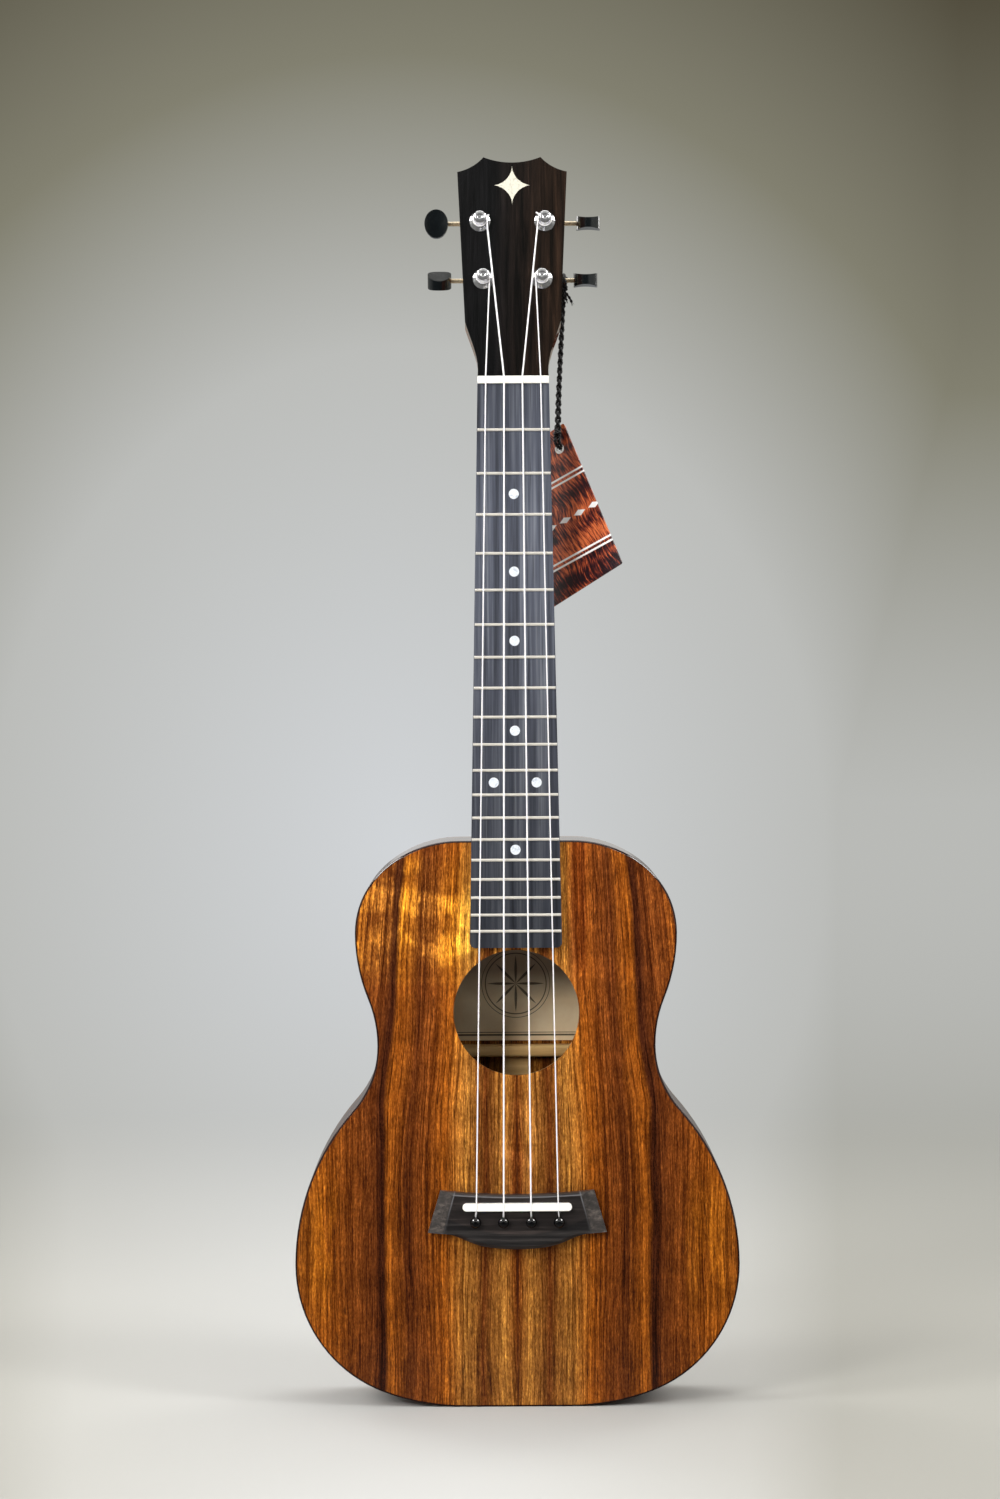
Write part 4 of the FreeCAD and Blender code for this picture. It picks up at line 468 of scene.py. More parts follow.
def bridge_shade_and_highlights(n, tone):
    """Paler wings outside the bridge's ridges, a darker middle between them with its belly painted darker
    still as shade, and painted highlights along its edges.
    """
    x, _, z = n.parts(n.place())
    slant = n.product(n.maths("SUBTRACT", z, RIDGE_HIGH), RIDGE_SLANT)
    off = n.maths("ADD", n.maths("ABSOLUTE", x), slant)
    wing = n.spread(off, RIDGE_IN, RIDGE_OUT)
    between = n.maths("SUBTRACT", 1.0, wing)
    shade = n.mix(wing, (0.58, 0.54, 0.56), (1.12, 1.10, 1.10))
    # Painted shade: the belly under a curved line is darkened
    arc = n.maths("SUBTRACT", z, n.product(x, x, BELLY_BEND))
    belly = n.product(n.spread(arc, BELLY_HIGH, BELLY_LOW), between)
    tone = n.tint(tone, n.mix(belly, shade, (0.36, 0.38, 0.42)))
    # Painted highlights where the arrises catch light: along the top, and down the two ridges
    top = n.maths("ADD", n.product(x, x, EDGE_BEND), EDGE_HIGH)
    top_highlight = n.product(window(n, n.maths("SUBTRACT", z, top), 0.0, 0.0001, 0.0004), between)
    ridge = n.product(window(n, off, RIDGE_IN, 0.0001, 0.0005), n.spread(z, 0.100, 0.110, 0.15, 1.0))
    return n.mix(n.product(n.maths("MAXIMUM", top_highlight, ridge), 0.42), tone, EDGE_HIGHLIGHT_COLOUR)


def headplate_wood():
    """Gloss rosewood veneer: near black, with red-brown streaks that are stronger on the treble side."""
    n = Nodes("headplate_wood")
    streak = n.noise((300, 60, 6), 5.0, 0.62, 0.5)
    fine = n.noise((1500, 200, 30), 4.0, 0.65)
    treble = n.spread(n.parts(n.place())[0], -0.010, 0.022)
    brown = n.tones(streak, paint(18, 14, 11), paint(49, 36, 28), 0.38, 0.66)
    black = n.tones(streak, paint(9, 10, 11), paint(25, 25, 27), 0.35, 0.72)
    lines = n.tones(fine, (0.45, 0.42, 0.4), (1.35, 1.3, 1.25), high=0.72)
    return lacquer(n, n.tint(n.mix(treble, black, brown), lines, 0.8), 0.35, 0.03)


# ---------------------------------------------------------------- metal, shell, bone and plastics
def plain(name, colour, rough, speck, coat=0.0):
    """Moulded or polished material, with a faint variation of tone and gloss."""
    n = Nodes(name)
    cloud = n.noise((180, 180, 180), 4.0)
    dark = [part * (1 - speck) for part in paint(*colour)]
    n.surface(n.tones(cloud, dark, paint(*colour)), n.spread(cloud, 0.3, 0.7, rough * 0.85, rough * 1.15))
    if coat:
        n.surface(Coat_Weight=coat, Coat_Roughness=0.03)
    return n.material


def metal(name, colour, rough, coat, mirror, scratch=(900, 900, 900)):
    """Metal with fine polishing marks under a bright skin. mirror: less for a milky shine."""
    n = Nodes(name)
    marks = n.noise(scratch, 3.0, 0.6)
    tone = n.tint(paint(*colour), n.tones(marks, (0.7, 0.7, 0.7), WHITE), 0.25)
    n.bump(marks, 0.08, 0.00002)
    return n.surface(tone, n.spread(marks, 0.3, 0.7, rough * 0.8, rough * 1.3), Metallic=mirror,
                     Coat_Weight=coat, Coat_Roughness=0.03, Coat_IOR=2.2)


def pearl(name, dark, light, mid):
    """Shell with soft pale clouds."""
    n = Nodes(name)
    cloud = n.noise((420, 420, 420), 3.0, 0.5, 1.2)
    tone = n.ramp(cloud, ((0.30, paint(*dark)), (0.5, paint(*light)), (0.70, paint(*mid))))
    return n.surface(tone, 0.18, Coat_Weight=0.6, Coat_Roughness=0.05)


def bone():
    """Polished bone, very faintly streaked."""
    n = Nodes("bone")
    streak = n.noise((60, 900, 900), 3.0)
    return n.surface(n.tones(streak, paint(249, 247, 238), paint(255, 254, 249)), 0.28,
                     Subsurface_Weight=0.15, Subsurface_Radius=(0.002, 0.0015, 0.001), Subsurface_Scale=1.0)


def string_nylon():
    """Smooth pale polymer string, slightly translucent."""
    n = Nodes("string_nylon")
    cloud = n.noise((900, 900, 60), 2.0)
    return n.surface(n.tones(cloud, paint(246, 244, 252), paint(255, 253, 255)), 0.22,
                     Coat_Weight=0.5, Coat_Roughness=0.08, Subsurface_Weight=0.2,
                     Subsurface_Radius=(0.0008, 0.0008, 0.001), Subsurface_Scale=1.0)


def cord_fibre():
    """Black waxed twine."""
    n = Nodes("cord_fibre")
    fibre = n.noise((2500, 2500, 900), 3.0, 0.6)
    n.bump(fibre, 0.5, 0.00015)
    return n.surface(n.tones(fibre, paint(4, 5, 6), paint(20, 21, 24)), 0.62,
                     Sheen_Weight=0.08, Sheen_Roughness=0.4)


# ---------------------------------------------------------------- the label and the hang tag
INK = paint(60, 46, 34)
# Ruled lines by their distance from the label's edge, the rose's rings by their radius, and the width of each
LABEL_RULES = ((0.0030, 0.0006), (0.0044, 0.00025))
ROSE_RINGS = ((0.0165, 0.00035), (0.0185, 0.0002))
# The rose's rays: half their number, their inner and outer reach, and how wide they are at their foot
RAY_PAIRS, RAY_IN, RAY_OUT, RAY_FOOT = 4, 0.002, 0.0155, 0.62
# Over its lower edge the label is lit up to the first height, and in shade from the second
LABEL_LIT, LABEL_DARK, LABEL_SHADE = 0.022, 0.038, (0.30, 0.26, 0.27)


def label_paper():
    """Aged parchment with a ruled border and a plain compass rose: no lettering."""
    n = Nodes("label_paper")
    x, _, z = n.parts(n.place())
    blot = n.noise((45, 45, 45), 4.0, 0.6)
    tone = n.tones(blot, paint(236, 208, 166), paint(254, 236, 200))
    low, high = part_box("paper_label")
    middle_z = (low[2] + high[2]) / 2
    half_x, half_z = (high[0] - low[0]) / 2, (high[2] - low[2]) / 2
    edge_x = n.maths("SUBTRACT", half_x, n.maths("ABSOLUTE", x))
    edge_z = n.maths("SUBTRACT", half_z, n.gap(z, middle_z))
    edge = n.maths("MINIMUM", edge_x, edge_z)
    for inset, wide in LABEL_RULES:
        tone = ruled(n, tone, edge, inset, wide, 0.6, 0.9, INK)
    up = n.maths("SUBTRACT", z, middle_z)
    far = n.radius(x, up)
    for ring, wide in ROSE_RINGS:
        tone = ruled(n, tone, far, ring, wide, 0.6, 0.85, INK)
    turn = n.product(n.maths("ARCTAN2", up, x), RAY_PAIRS)
    ray = n.maths("LESS_THAN", n.maths("ABSOLUTE", n.maths("SINE", turn)),
                  n.spread(far, RAY_IN, RAY_OUT, RAY_FOOT, 0.0))
    tone = n.mix(n.product(ray, n.maths("LESS_THAN", far, RAY_OUT), 0.8), tone, INK)
    shade = n.spread(z, low[2] + LABEL_LIT, low[2] + LABEL_DARK, 0.0, 0.95)
    return n.surface(n.tint(tone, LABEL_SHADE, shade), 0.75)


# The tag's pattern is turned with the card, in degrees. Its ruled lines are placed by their height over the
# card's middle (m), and its row of lozenges lies a little under it
TAG_LEAN = 28
TAG_RULES = (0.017, 0.0145, -0.0225, -0.025)
TAG_RULE_WIDE = 0.0006
FLAME_SWAY = 0.0022
FLAMES = ((0.40, (34, 20, 26)), (0.48, (84, 36, 36)), (0.56, (158, 70, 42)), (0.66, (226, 120, 70)))
LOZENGE_APART, LOZENGE_LONG, LOZENGES_DOWN = 0.0085, 0.0042, 0.004
LOZENGE_SOFT, LOZENGE_SOLID = 0.0018, 0.0015


def tag_print():
    """Gloss card printed like flamed wood: orange flames on near black, ruled lines and a row of lozenges."""
    n = Nodes("tag_print")
    middle = centre("hang_tag")
    x, _, z = n.parts(n.place())
    x, z = n.maths("SUBTRACT", x, middle.x), n.maths("SUBTRACT", z, middle.z)
    lean = math.radians(TAG_LEAN)
    u = n.maths("ADD", n.product(x, math.cos(lean)), n.product(z, math.sin(lean)))
    v = n.maths("SUBTRACT", n.product(z, math.cos(lean)), n.product(x, math.sin(lean)))
    card = n.joined(u, 0.0, v)
    wander = n.noise((30, 1, 45), 1.0, source=card)
    bent = n.joined(n.maths("ADD", u, n.sway(wander, FLAME_SWAY)), 0.0, v)
    flames = n.noise((1100, 1, 130), 3.0, 0.65, source=bent)
    bands = n.noise((22, 1, 75), 2.0, source=card, shift=(2.3, 0, 4.1))
    heat = n.maths("ADD", flames, n.spread(bands, 0.38, 0.62, -0.10, 0.12))
    tone = n.ramp(heat, painted(FLAMES))
    for place in TAG_RULES:
        tone = ruled(n, tone, v, place, TAG_RULE_WIDE, 0.75, 1.0, WHITE)
    cell = n.gap(n.maths("FRACT", n.maths("DIVIDE", u, LOZENGE_APART)), 0.5)
    row = n.maths("ABSOLUTE", n.maths("ADD", v, LOZENGES_DOWN))
    reach = n.maths("ADD", n.product(cell, LOZENGE_LONG), row)
    tone = n.mix(n.spread(reach, LOZENGE_SOFT, LOZENGE_SOLID), tone, WHITE)
    return n.surface(tone, 0.32, Coat_Weight=0.5, Coat_Roughness=0.12)


# ---------------------------------------------------------------- materials on the CAD nodes
STRING_NAMES = ("g", "c", "e", "a")


def each(part):
    """The names of a part's four nodes."""
    return [f"{part}_{name}" for name in STRING_NAMES]


brass = metal("brass", (240, 222, 186), 0.3, coat=0.6, mirror=0.75)
chrome = metal("chrome", (232, 233, 237), 0.13, coat=0.7, mirror=0.86)
cord_black = cord_fibre()
nylon = string_nylon()
SKINS = (
    (koa_top(), ["soundboard"]),
    (koa_back(), ["back_plate"]),
    (koa_side(), ["side_bass", "side_treble"]),
    (mahogany("lining_wood", (118, 70, 42), (156, 104, 66), gloss=False),
     ["top_linings", "back_linings", "neck_block", "tail_block", "bridge_plate"]),
    (pale_wood("spruce", (204, 158, 98), (238, 200, 136)),
     ["top_cross_braces", "soundhole_braces", "fan_braces", "back_braces", "back_seam_strip", "neck_dowels"]),
    (label_paper(), ["paper_label"]),
    (mahogany("neck_wood", (92, 44, 24), (132, 72, 40)), ["neck"]),
    (ebony("heel_cap_ebony", (36, 32, 31), (66, 58, 54), 0.3, (500, 500, 14), 0.4), ["heel_cap"]),
    (headplate_wood(), ["headplate"]),
    (pearl("head_pearl", (186, 184, 170), (226, 223, 207), (208, 205, 190)), ["headplate_inlay"]),
    # The fretboard's ebony gets painted light along its length
    (ebony("fretboard_wood", (68, 72, 84), (108, 112, 121), 0.38, (480, 480, 7), 0.6, board_light),
     ["fretboard"]),
    (metal("fret_metal", (255, 250, 240), 0.35, coat=0.5, mirror=0.42, scratch=(3000, 300, 3000)), ["frets"]),
    (pearl("dot_pearl", (196, 206, 220), (238, 243, 250), (216, 226, 240)), ["position_dots"]),
    (bone(), ["nut", "saddle"]),
    # The bridge's ebony gets painted shade on its belly and painted highlights on its edges
    (ebony("bridge_ebony", (60, 56, 54), (104, 96, 90), 0.36, (16, 500, 500), 0.45, bridge_shade_and_highlights), ["bridge"]),
    (plain("black_gloss", (6, 6, 8), 0.10, 0.1, coat=0.6), ["bridge_pins"]),
    (chrome, ["tuner_bushings", *each("tuner_post")]),
    (brass, ["tuner_plates", "tuner_plate_screws", *each("tuner_wheel"), *each("tuner_worm")]),
    (plain("button_black", (15, 20, 23), 0.22, 0.2, coat=0.5), each("tuner_button")),
    (cord_black, ["tag_cord", "tag_hitch", "tag_knot"]),
    (tag_print(), ["hang_tag"]),
    (plain("white_enamel", (255, 255, 253), 0.3, 0.02), ["tag_eyelet"]),
    (nylon, each("string") + each("string_winding")),
)
for material, names in SKINS:
    for name in names:
        nodes[name].data.materials.clear()
        nodes[name].data.materials.append(material)


# ---------------------------------------------------------------- floor, backdrop and lights
# The backdrop is brightest behind the body and falls off towards the corners. Places are slopes from the lens
GLOW_ACROSS, GLOW_UP = -0.022, -0.0415
GLOW_WIDE, GLOW_TALL = 0.165, 0.2
GLOW_SPAN = 1.4
GLOW_STOPS = (
    (0.0, (210, 213, 216)),
    (0.6, (188, 189, 186)),
    (0.95, (130, 128, 112)),
    (1.3, (80, 75, 60)),
)
# Where the fall-off stops: at the sides (sooner below the low slope than above the high one), below and above
GLOW_WIDEST, GLOW_WIDEST_LOW = 0.8, 0.62
LOW_SLOPE, HIGH_SLOPE = -0.03, 0.08
GLOW_LOWEST = 0.35
GLOW_TALLEST = 0.22
# Slopes at which the backdrop starts to turn plain grey outside the picture, and has turned
GREY_WIDE, GREY_TALL = (0.14, 0.40), (0.22, 0.60)
PLAIN_GREY = paint(188, 188, 182)
# How bright the room looks to a reflection, by how far its ray points away from the lens
ROOM_STOPS = ((-0.90, 0.06), (-0.74, 0.8), (0.30, 0.7), (0.80, 0.35), (0.95, 0.40), (0.99, 1.0))
# The same for the floor, in front of the ukulele and behind it
FLOOR_IN_FRONT, FLOOR_BEHIND = 0.05, 0.4
FLOOR_RADIUS = 30.0
# The floor is a little warmer up to one distance from the lens, and no longer past the other
FLOOR_WARMTH, WARM_TO, WARM_END = (1.0, 0.99, 0.97), 2.0, 5.0
# The y at which the floor (m) and the room (a ray's direction) start to turn grey, and have turned
FLOOR_GREY, ROOM_GREY = (-0.45, -1.0), (0.3, -0.3)
# The floor takes the ukulele's shadow out to the first distance, and glows like the backdrop past the second
SHADOW_NEAR, SHADOW_FAR = 0.45, 1.5
WORLD_COLOUR, WORLD_STRENGTH = (1.0, 0.985, 0.96), 0.40
LAMP_COLOUR = (1.0, 0.98, 0.96)
LENS = camera.location


def backdrop(n, across, up, behind):
    """The backdrop's colour at a slope across and up: plain grey outside the picture and behind the lens."""
    wide = n.spread(n.maths("ABSOLUTE", across), *GREY_WIDE)
    tall = n.spread(n.maths("ABSOLUTE", up), *GREY_TALL)
    outside = n.maths("MAXIMUM", n.maths("MAXIMUM", wide, tall), behind)
    side = n.maths("ABSOLUTE", n.maths("DIVIDE", n.maths("SUBTRACT", across, GLOW_ACROSS), GLOW_WIDE))
    side = n.maths("MINIMUM", side, n.spread(up, LOW_SLOPE, HIGH_SLOPE, GLOW_WIDEST_LOW, GLOW_WIDEST))
    rise = n.maths("SUBTRACT", n.maths("MINIMUM", up, GLOW_TALLEST), GLOW_UP)
    rise = n.maths("MAXIMUM", n.maths("DIVIDE", rise, GLOW_TALL), -GLOW_LOWEST)
    far = n.maths("DIVIDE", n.radius(side, rise), GLOW_SPAN)
    return n.mix(outside, n.ramp(far, painted(GLOW_STOPS, GLOW_SPAN)), PLAIN_GREY)


def seen_strength(n, room):
    """1 for the camera, and the room's own strength for reflections."""
    gloss = n.add("LightPath").outputs["Is Glossy Ray"]
    return n.maths("ADD", n.product(gloss, n.maths("SUBTRACT", room, 1.0)), 1.0)


def make_floor():
    """Large pale disc. Near the ukulele it takes its shadow, and far off it glows like the backdrop."""
    bpy.ops.mesh.primitive_circle_add(vertices=96, radius=FLOOR_RADIUS, fill_type="NGON", location=(0, 0, 0))
    floor = bpy.context.object
    floor.name = "floor"
    n = Nodes("floor")
    x, y, _ = n.parts(n.place())
    across = n.maths("SUBTRACT", x, LENS.x)
    away = n.length(n.joined(across, n.maths("SUBTRACT", y, LENS.y), 0.0))
    away = n.maths("MAXIMUM", away, 1.0)
    tone = backdrop(n, n.maths("DIVIDE", across, away), n.maths("DIVIDE", -LENS.z, away),
                    n.spread(y, *FLOOR_GREY))
    tone = n.tint(tone, n.mix(n.spread(away, WARM_TO, WARM_END, 1.0, 0.0), WHITE, FLOOR_WARMTH))
    n.surface(tone, 0.8, Specular_IOR_Level=0.1)
    glow = n.add("Emission", Color=tone)
    lit = n.blended(n.spread(n.radius(x, y), SHADOW_NEAR, SHADOW_FAR), n.shader.outputs[0], glow.outputs[0])
    dimmed = n.add("MixShader", Fac=seen_strength(n, n.spread(y, -0.3, 0.3, FLOOR_IN_FRONT, FLOOR_BEHIND)))
    n.link(lit, dimmed.inputs[2])
    n.link(dimmed.outputs[0], n.tree.nodes["Material Output"].inputs["Surface"])
    floor.data.materials.append(n.material)


def make_world():
    """Plain light from all round. Camera, glossy and see-through rays meet the backdrop's colours instead."""
    scene.world = bpy.data.worlds.new("world")
    n = Nodes("world", scene.world)
    light = n.tree.nodes["Background"]
    light.inputs["Color"].default_value = (*WORLD_COLOUR, 1)
    light.inputs["Strength"].default_value = WORLD_STRENGTH
    x, y, z = n.parts(n.add("TexCoord").outputs["Generated"])
    ahead = n.maths("MAXIMUM", n.length(n.joined(x, y, 0.0)), 0.3)
    tone = backdrop(n, n.maths("DIVIDE", x, ahead), n.maths("DIVIDE", z, ahead), n.spread(y, *ROOM_GREY))
    room = n.levels(y, ROOM_STOPS, -1.0, 1.0)
    back = n.add("Background", Color=tone, Strength=seen_strength(n, n.parts(room)[0]))
    path = n.add("LightPath")
    seen = n.maths("MAXIMUM", path.outputs["Is Camera Ray"], path.outputs["Is Glossy Ray"])
    seen = n.maths("MAXIMUM", seen, path.outputs["Is Transmission Ray"])
    n.link(n.blended(seen, light.outputs[0], back.outputs[0]), n.tree.nodes["World Output"].inputs["Surface"])


def softbox(name, place, aim, size, power, reflected=True, lights=True):
    """Large soft lamp that faces a point. reflected: it shows in gloss. lights: it lights matt surfaces."""
    data = bpy.data.lights.new(name, "AREA")
    data.shape = "RECTANGLE"
    data.size, data.size_y = size
    data.energy = power
    data.color = LAMP_COLOUR
    lamp = bpy.data.objects.new(name, data)
    scene.collection.objects.link(lamp)
    lamp.visible_glossy = reflected
    lamp.visible_diffuse = lights
    lamp.location = place
    lamp.rotation_euler = (Vector(aim) - lamp.location).to_track_quat("-Z", "Y").to_euler()


make_floor()
make_world()
# Each lamp's place, the point it faces and its width and height in metres, and its power in watts
softbox("key_box", (-1.0, -1.75, 0.95), (0, 0, 0.40), (0.5, 0.7), 24, reflected=False)
softbox("left_spark", (-0.75, -1.6, 1.5), (0, 0, 0.5), (0.3, 0.3), 2)
softbox("right_spark", (0.65, -1.6, 1.5), (0, 0, 0.5), (0.3, 0.3), 2)
softbox("left_rim", (-1.3, -0.35, 1.6), (-0.06, 0, 0.28), (0.5, 0.7), 34, lights=False)
softbox("right_rim", (1.3, -0.35, 1.6), (0.06, 0, 0.28), (0.5, 0.7), 34, lights=False)
softbox("left_box", (-1.5, -0.9, 1.4), (0, 0, 0.40), (0.6, 1.2), 16, reflected=False)
softbox("right_box", (1.5, -1.1, 1.5), (0, 0, 0.40), (0.6, 1.2), 20, reflected=False)
softbox("top_box", (0, 0.5, 2.0), (0, 0, 0.3), (1.6, 1.0), 12)
softbox("back_left_box", (-1.2, 1.5, 1.3), (0, 0, 0.35), (0.8, 1.0), 12)
softbox("back_right_box", (1.2, 1.5, 1.3), (0, 0, 0.35), (0.8, 1.0), 9)


# ---------------------------------------------------------------- swept strands
PLIES = 2
# A ply's distance from the twine's middle, and its radius, as shares of the twine's radius
PLY_OFF, PLY_RADIUS = 0.47, 0.56
COIL_STEPS = 28
SPLINE_STEPS = 40


def around(a, b, angle):
    """The direction at an angle from a towards b."""
    return a * math.cos(angle) + b * math.sin(angle)


def corners(box):
    """A box's two corners, as vectors."""
    return [Vector(corner) for corner in box]


def frames_along(points):
    """A steady pair of side directions at each point of a line."""
    pairs = []
    tangent = (points[1] - points[0]).normalized()
    side = tangent.orthogonal().normalized()
    for index in range(len(points)):
        low, high = max(0, index - 1), min(len(points) - 1, index + 1)
        ahead = (points[high] - points[low]).normalized()
        side = (side - ahead * side.dot(ahead)).normalized()
        pairs.append((side, ahead.cross(side)))
    return pairs


def skin(mesh, rings):
    """Joins rings of equally many points into a tube, and closes its two ends."""
    sides = len(rings[0])
    for low, high in zip(rings, rings[1:]):
        for k in range(sides):
            mesh.faces.new((low[k], low[(k + 1) % sides], high[(k + 1) % sides], high[k]))
    mesh.faces.new(list(reversed(rings[0])))
    mesh.faces.new(rings[-1])


def sweep(mesh, points, radius, sides, taper=None):
    """Adds a closed round tube along points. taper gives the radius share at 0 to 1 along it."""
    rings = []
    for index, (point, (a, b)) in enumerate(zip(points, frames_along(points))):
        share = taper(index / (len(points) - 1)) if taper else 1.0
        angles = [2 * math.pi * k / sides for k in range(sides)]
        rings.append([mesh.verts.new(point + around(a, b, angle) * radius * share) for angle in angles])
    skin(mesh, rings)


def turned(mesh, place, axis, profile, sides):
    """Adds a shape turned about an axis. profile holds radius and height pairs."""
    a = axis.orthogonal().normalized()
    b = axis.cross(a)
    rings = []
    for radius, high in profile:
        angles = [2 * math.pi * k / sides for k in range(sides)]
        rings.append([mesh.verts.new(place + axis * high + around(a, b, angle) * radius) for angle in angles])
    skin(mesh, rings)


def finished(mesh, name, material, body="root"):
    """Makes an object of a bmesh, gives it its material and lets it ride on a body."""
    data = bpy.data.meshes.new(name)
    bmesh.ops.recalc_face_normals(mesh, faces=mesh.faces)
    mesh.to_mesh(data)
    mesh.free()
    for face in data.polygons:
        face.use_smooth = True
    data.materials.append(material)
    piece = bpy.data.objects.new(name, data)
    scene.collection.objects.link(piece)
    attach(piece, body)
    return piece


def twist(points, radius, pitch):
    """The plies of a twisted twine of an outer radius that follows points, and the radius of each."""
    lines = [[] for _ in range(PLIES)]
    run = 0.0
    for index, (point, (a, b)) in enumerate(zip(points, frames_along(points))):
        if index:
            run += (point - points[index - 1]).length
        for ply, line in enumerate(lines):
            angle = 2 * math.pi * (run / pitch + ply / PLIES)
            line.append(point + around(a, b, angle) * radius * PLY_OFF)
    return lines, radius * PLY_RADIUS


def smooth_line(name, route):
    """Points along a NURBS spline whose control points are the route's."""
    curve = bpy.data.curves.new(name, "CURVE")
    curve.dimensions = "3D"
    spline = curve.splines.new("NURBS")
    spline.points.add(len(route) - 1)
    for point, place in zip(spline.points, route):
        point.co = (*place, 1)
    spline.order_u = 3
    spline.use_endpoint_u = True
    spline.resolution_u = SPLINE_STEPS
    holder = bpy.data.objects.new(name, curve)
    scene.collection.objects.link(holder)
    bpy.context.view_layer.update()
    mesh = bpy.data.meshes.new_from_object(holder.evaluated_get(bpy.context.evaluated_depsgraph_get()))
    points = [vertex.co.copy() for vertex in mesh.vertices]
    bpy.data.objects.remove(holder)
    bpy.data.meshes.remove(mesh)
    return points


# ---------------------------------------------------------------- tag cord
CORD_ROUTE = (
    (0.0272, -0.0044, 0.5916),
    (0.0266, -0.0043, 0.5780),
    (0.0253, -0.0046, 0.5550),
    (0.0242, -0.0054, 0.5330),
    (0.0238, -0.0076, 0.5180),
    (0.0229, -0.0083, 0.5086),
    (0.0269, -0.0019, 0.5069),
)
CORD_DIAMETER = 0.0024
CORD_PITCH = 0.0062
# Thickness as a share of the cord's: the hitch's turns, its small knot, its two ends and the overhand knot
HITCH_THICK, SMALL_KNOT_THICK, END_THICK, OVERHAND_THICK = 0.96, 0.8, 0.62, 0.85
TWINE_SIDES, THIN_SIDES, HAIR_SIDES = 9, 7, 5
# The cord's two legs: side by side near the card, then twisted about each other up to the tuner
LEG_DIAMETER, LEG_TWINE_PITCH, LEG_PITCH = 0.00195, 0.0034, 0.0088
LEGS_BESIDE, LEGS_CLOSED = 0.011, 0.042
LEG_OFF_WIDE, LEG_OFF_CLOSE = 0.00098, 0.00064
LEGS_MEET, LEGS_MEET_OVER = 0.45, 0.006
# Hitch: two turns round the shaft, and a small knot below them
HITCH_SHIFT = 0.0015
HITCH_TURNS, HITCH_RISE = 2.0, CORD_DIAMETER * 0.95
SMALL_KNOT_SHIFT, SMALL_KNOT_AXIS = (0.0001, 0.0003, 0.0010), (0.25, 0.1, 1)
SMALL_KNOT_RADIUS, SMALL_KNOT_TURNS, SMALL_KNOT_RISE = 0.00135, 2.2, 0.0022
# The hitch's two frayed ends: how far each leans out and drops, and how far it stands forward and bows
ENDS = ((0.0034, 0.0078), (0.0012, 0.0066))
END_FORWARD, BOW_FORWARD = 0.0016, 0.0026
END_STEPS = 14
HAIRS, HAIR_SPREAD, HAIR_LONG, HAIR_ROOT, HAIR_RADIUS = 7, 0.35, 0.0026, 0.0006, 0.00016
OVERHAND_WIDE, OVERHAND_DEEP, OVERHAND_STEPS = 0.00048, 0.0007, 96
# Collar of two legs where they come out of the card's hole
COLLAR_PLACE, COLLAR_AXIS = 0.25, (0.25, 0.2, 1)
COLLAR_RADIUS, COLLAR_TURNS, COLLAR_RISE = 0.00125, 1.6, 0.0026
random.seed(7)


def length_of(points):
    """Length of a line of points."""
    return sum((b - a).length for a, b in zip(points, points[1:]))


def add_twine(mesh, points, diameter, pitch=CORD_PITCH, sides=TWINE_SIDES):
    """Twisted twine along points."""
    lines, ply_radius = twist(points, diameter / 2, pitch)
    for line in lines:
        sweep(mesh, line, ply_radius, sides)


def ring_points(middle, axis, radius, turns, rise):
    """Points on a coil about an axis."""
    a = axis.orthogonal().normalized()
    b = axis.cross(a)
    count = int(COIL_STEPS * turns)
    points = []
    for index in range(count + 1):
        angle = 2 * math.pi * turns * index / count
        place = middle + axis * rise * (index / count - 0.5)
        points.append(place + around(a, b, angle) * radius)
    return points


def add_legs(mesh, line):
    """The two legs of the cord, each a small twisted twine."""
    left = length_of(line)
    legs = [[], []]
    for index, point in enumerate(line):
        low, high = line[max(0, index - 1)], line[min(len(line) - 1, index + 1)]
        if index:
            left -= (point - line[index - 1]).length
        ahead = (high - low).normalized()
        side = (Vector((1, 0, 0)) - ahead * ahead.x).normalized()
        over = ahead.cross(side)
        angle = 2 * math.pi * max(0.0, left - LEGS_BESIDE) / LEG_PITCH
        share = min(1.0, max(0.0, (left - LEGS_BESIDE) / (LEGS_CLOSED - LEGS_BESIDE)))
        off = LEG_OFF_WIDE + (LEG_OFF_CLOSE - LEG_OFF_WIDE) * share
        off *= min(1.0, LEGS_MEET + left / LEGS_MEET_OVER)
        for leg, sign in zip(legs, (1, -1)):
            leg.append(point + around(side, over, angle) * off * sign)
    for leg in legs:
        add_twine(mesh, leg, LEG_DIAMETER, LEG_TWINE_PITCH, THIN_SIDES)


def add_frayed_end(mesh, start, lean, drop):
    """A short end of the cord that bows forward and hangs, with loose fibres at its tip."""
    end = start + Vector((lean, -END_FORWARD, -drop))
    bow = start + Vector((lean * 0.75, -BOW_FORWARD, -drop * 0.35))
    points = []
    for index in range(END_STEPS + 1):
        t = index / END_STEPS
        points.append(start + (bow - start) * t * (2 - t) * 0.999 + (end - start) * t * t * 0.5)
    add_twine(mesh, points, CORD_DIAMETER * END_THICK, CORD_PITCH * 0.8, THIN_SIDES)
    tip, ahead = points[-1], (points[-1] - points[-3]).normalized()
    for _ in range(HAIRS):
        stray = Vector([random.uniform(-HAIR_SPREAD, HAIR_SPREAD) for _ in range(3)])
        fray = (ahead + stray).normalized()
        hair = [tip - ahead * HAIR_ROOT + fray * (HAIR_LONG * i / 4) for i in range(5)]
        sweep(mesh, hair, HAIR_RADIUS, HAIR_SIDES, lambda t: 1 - 0.7 * t)


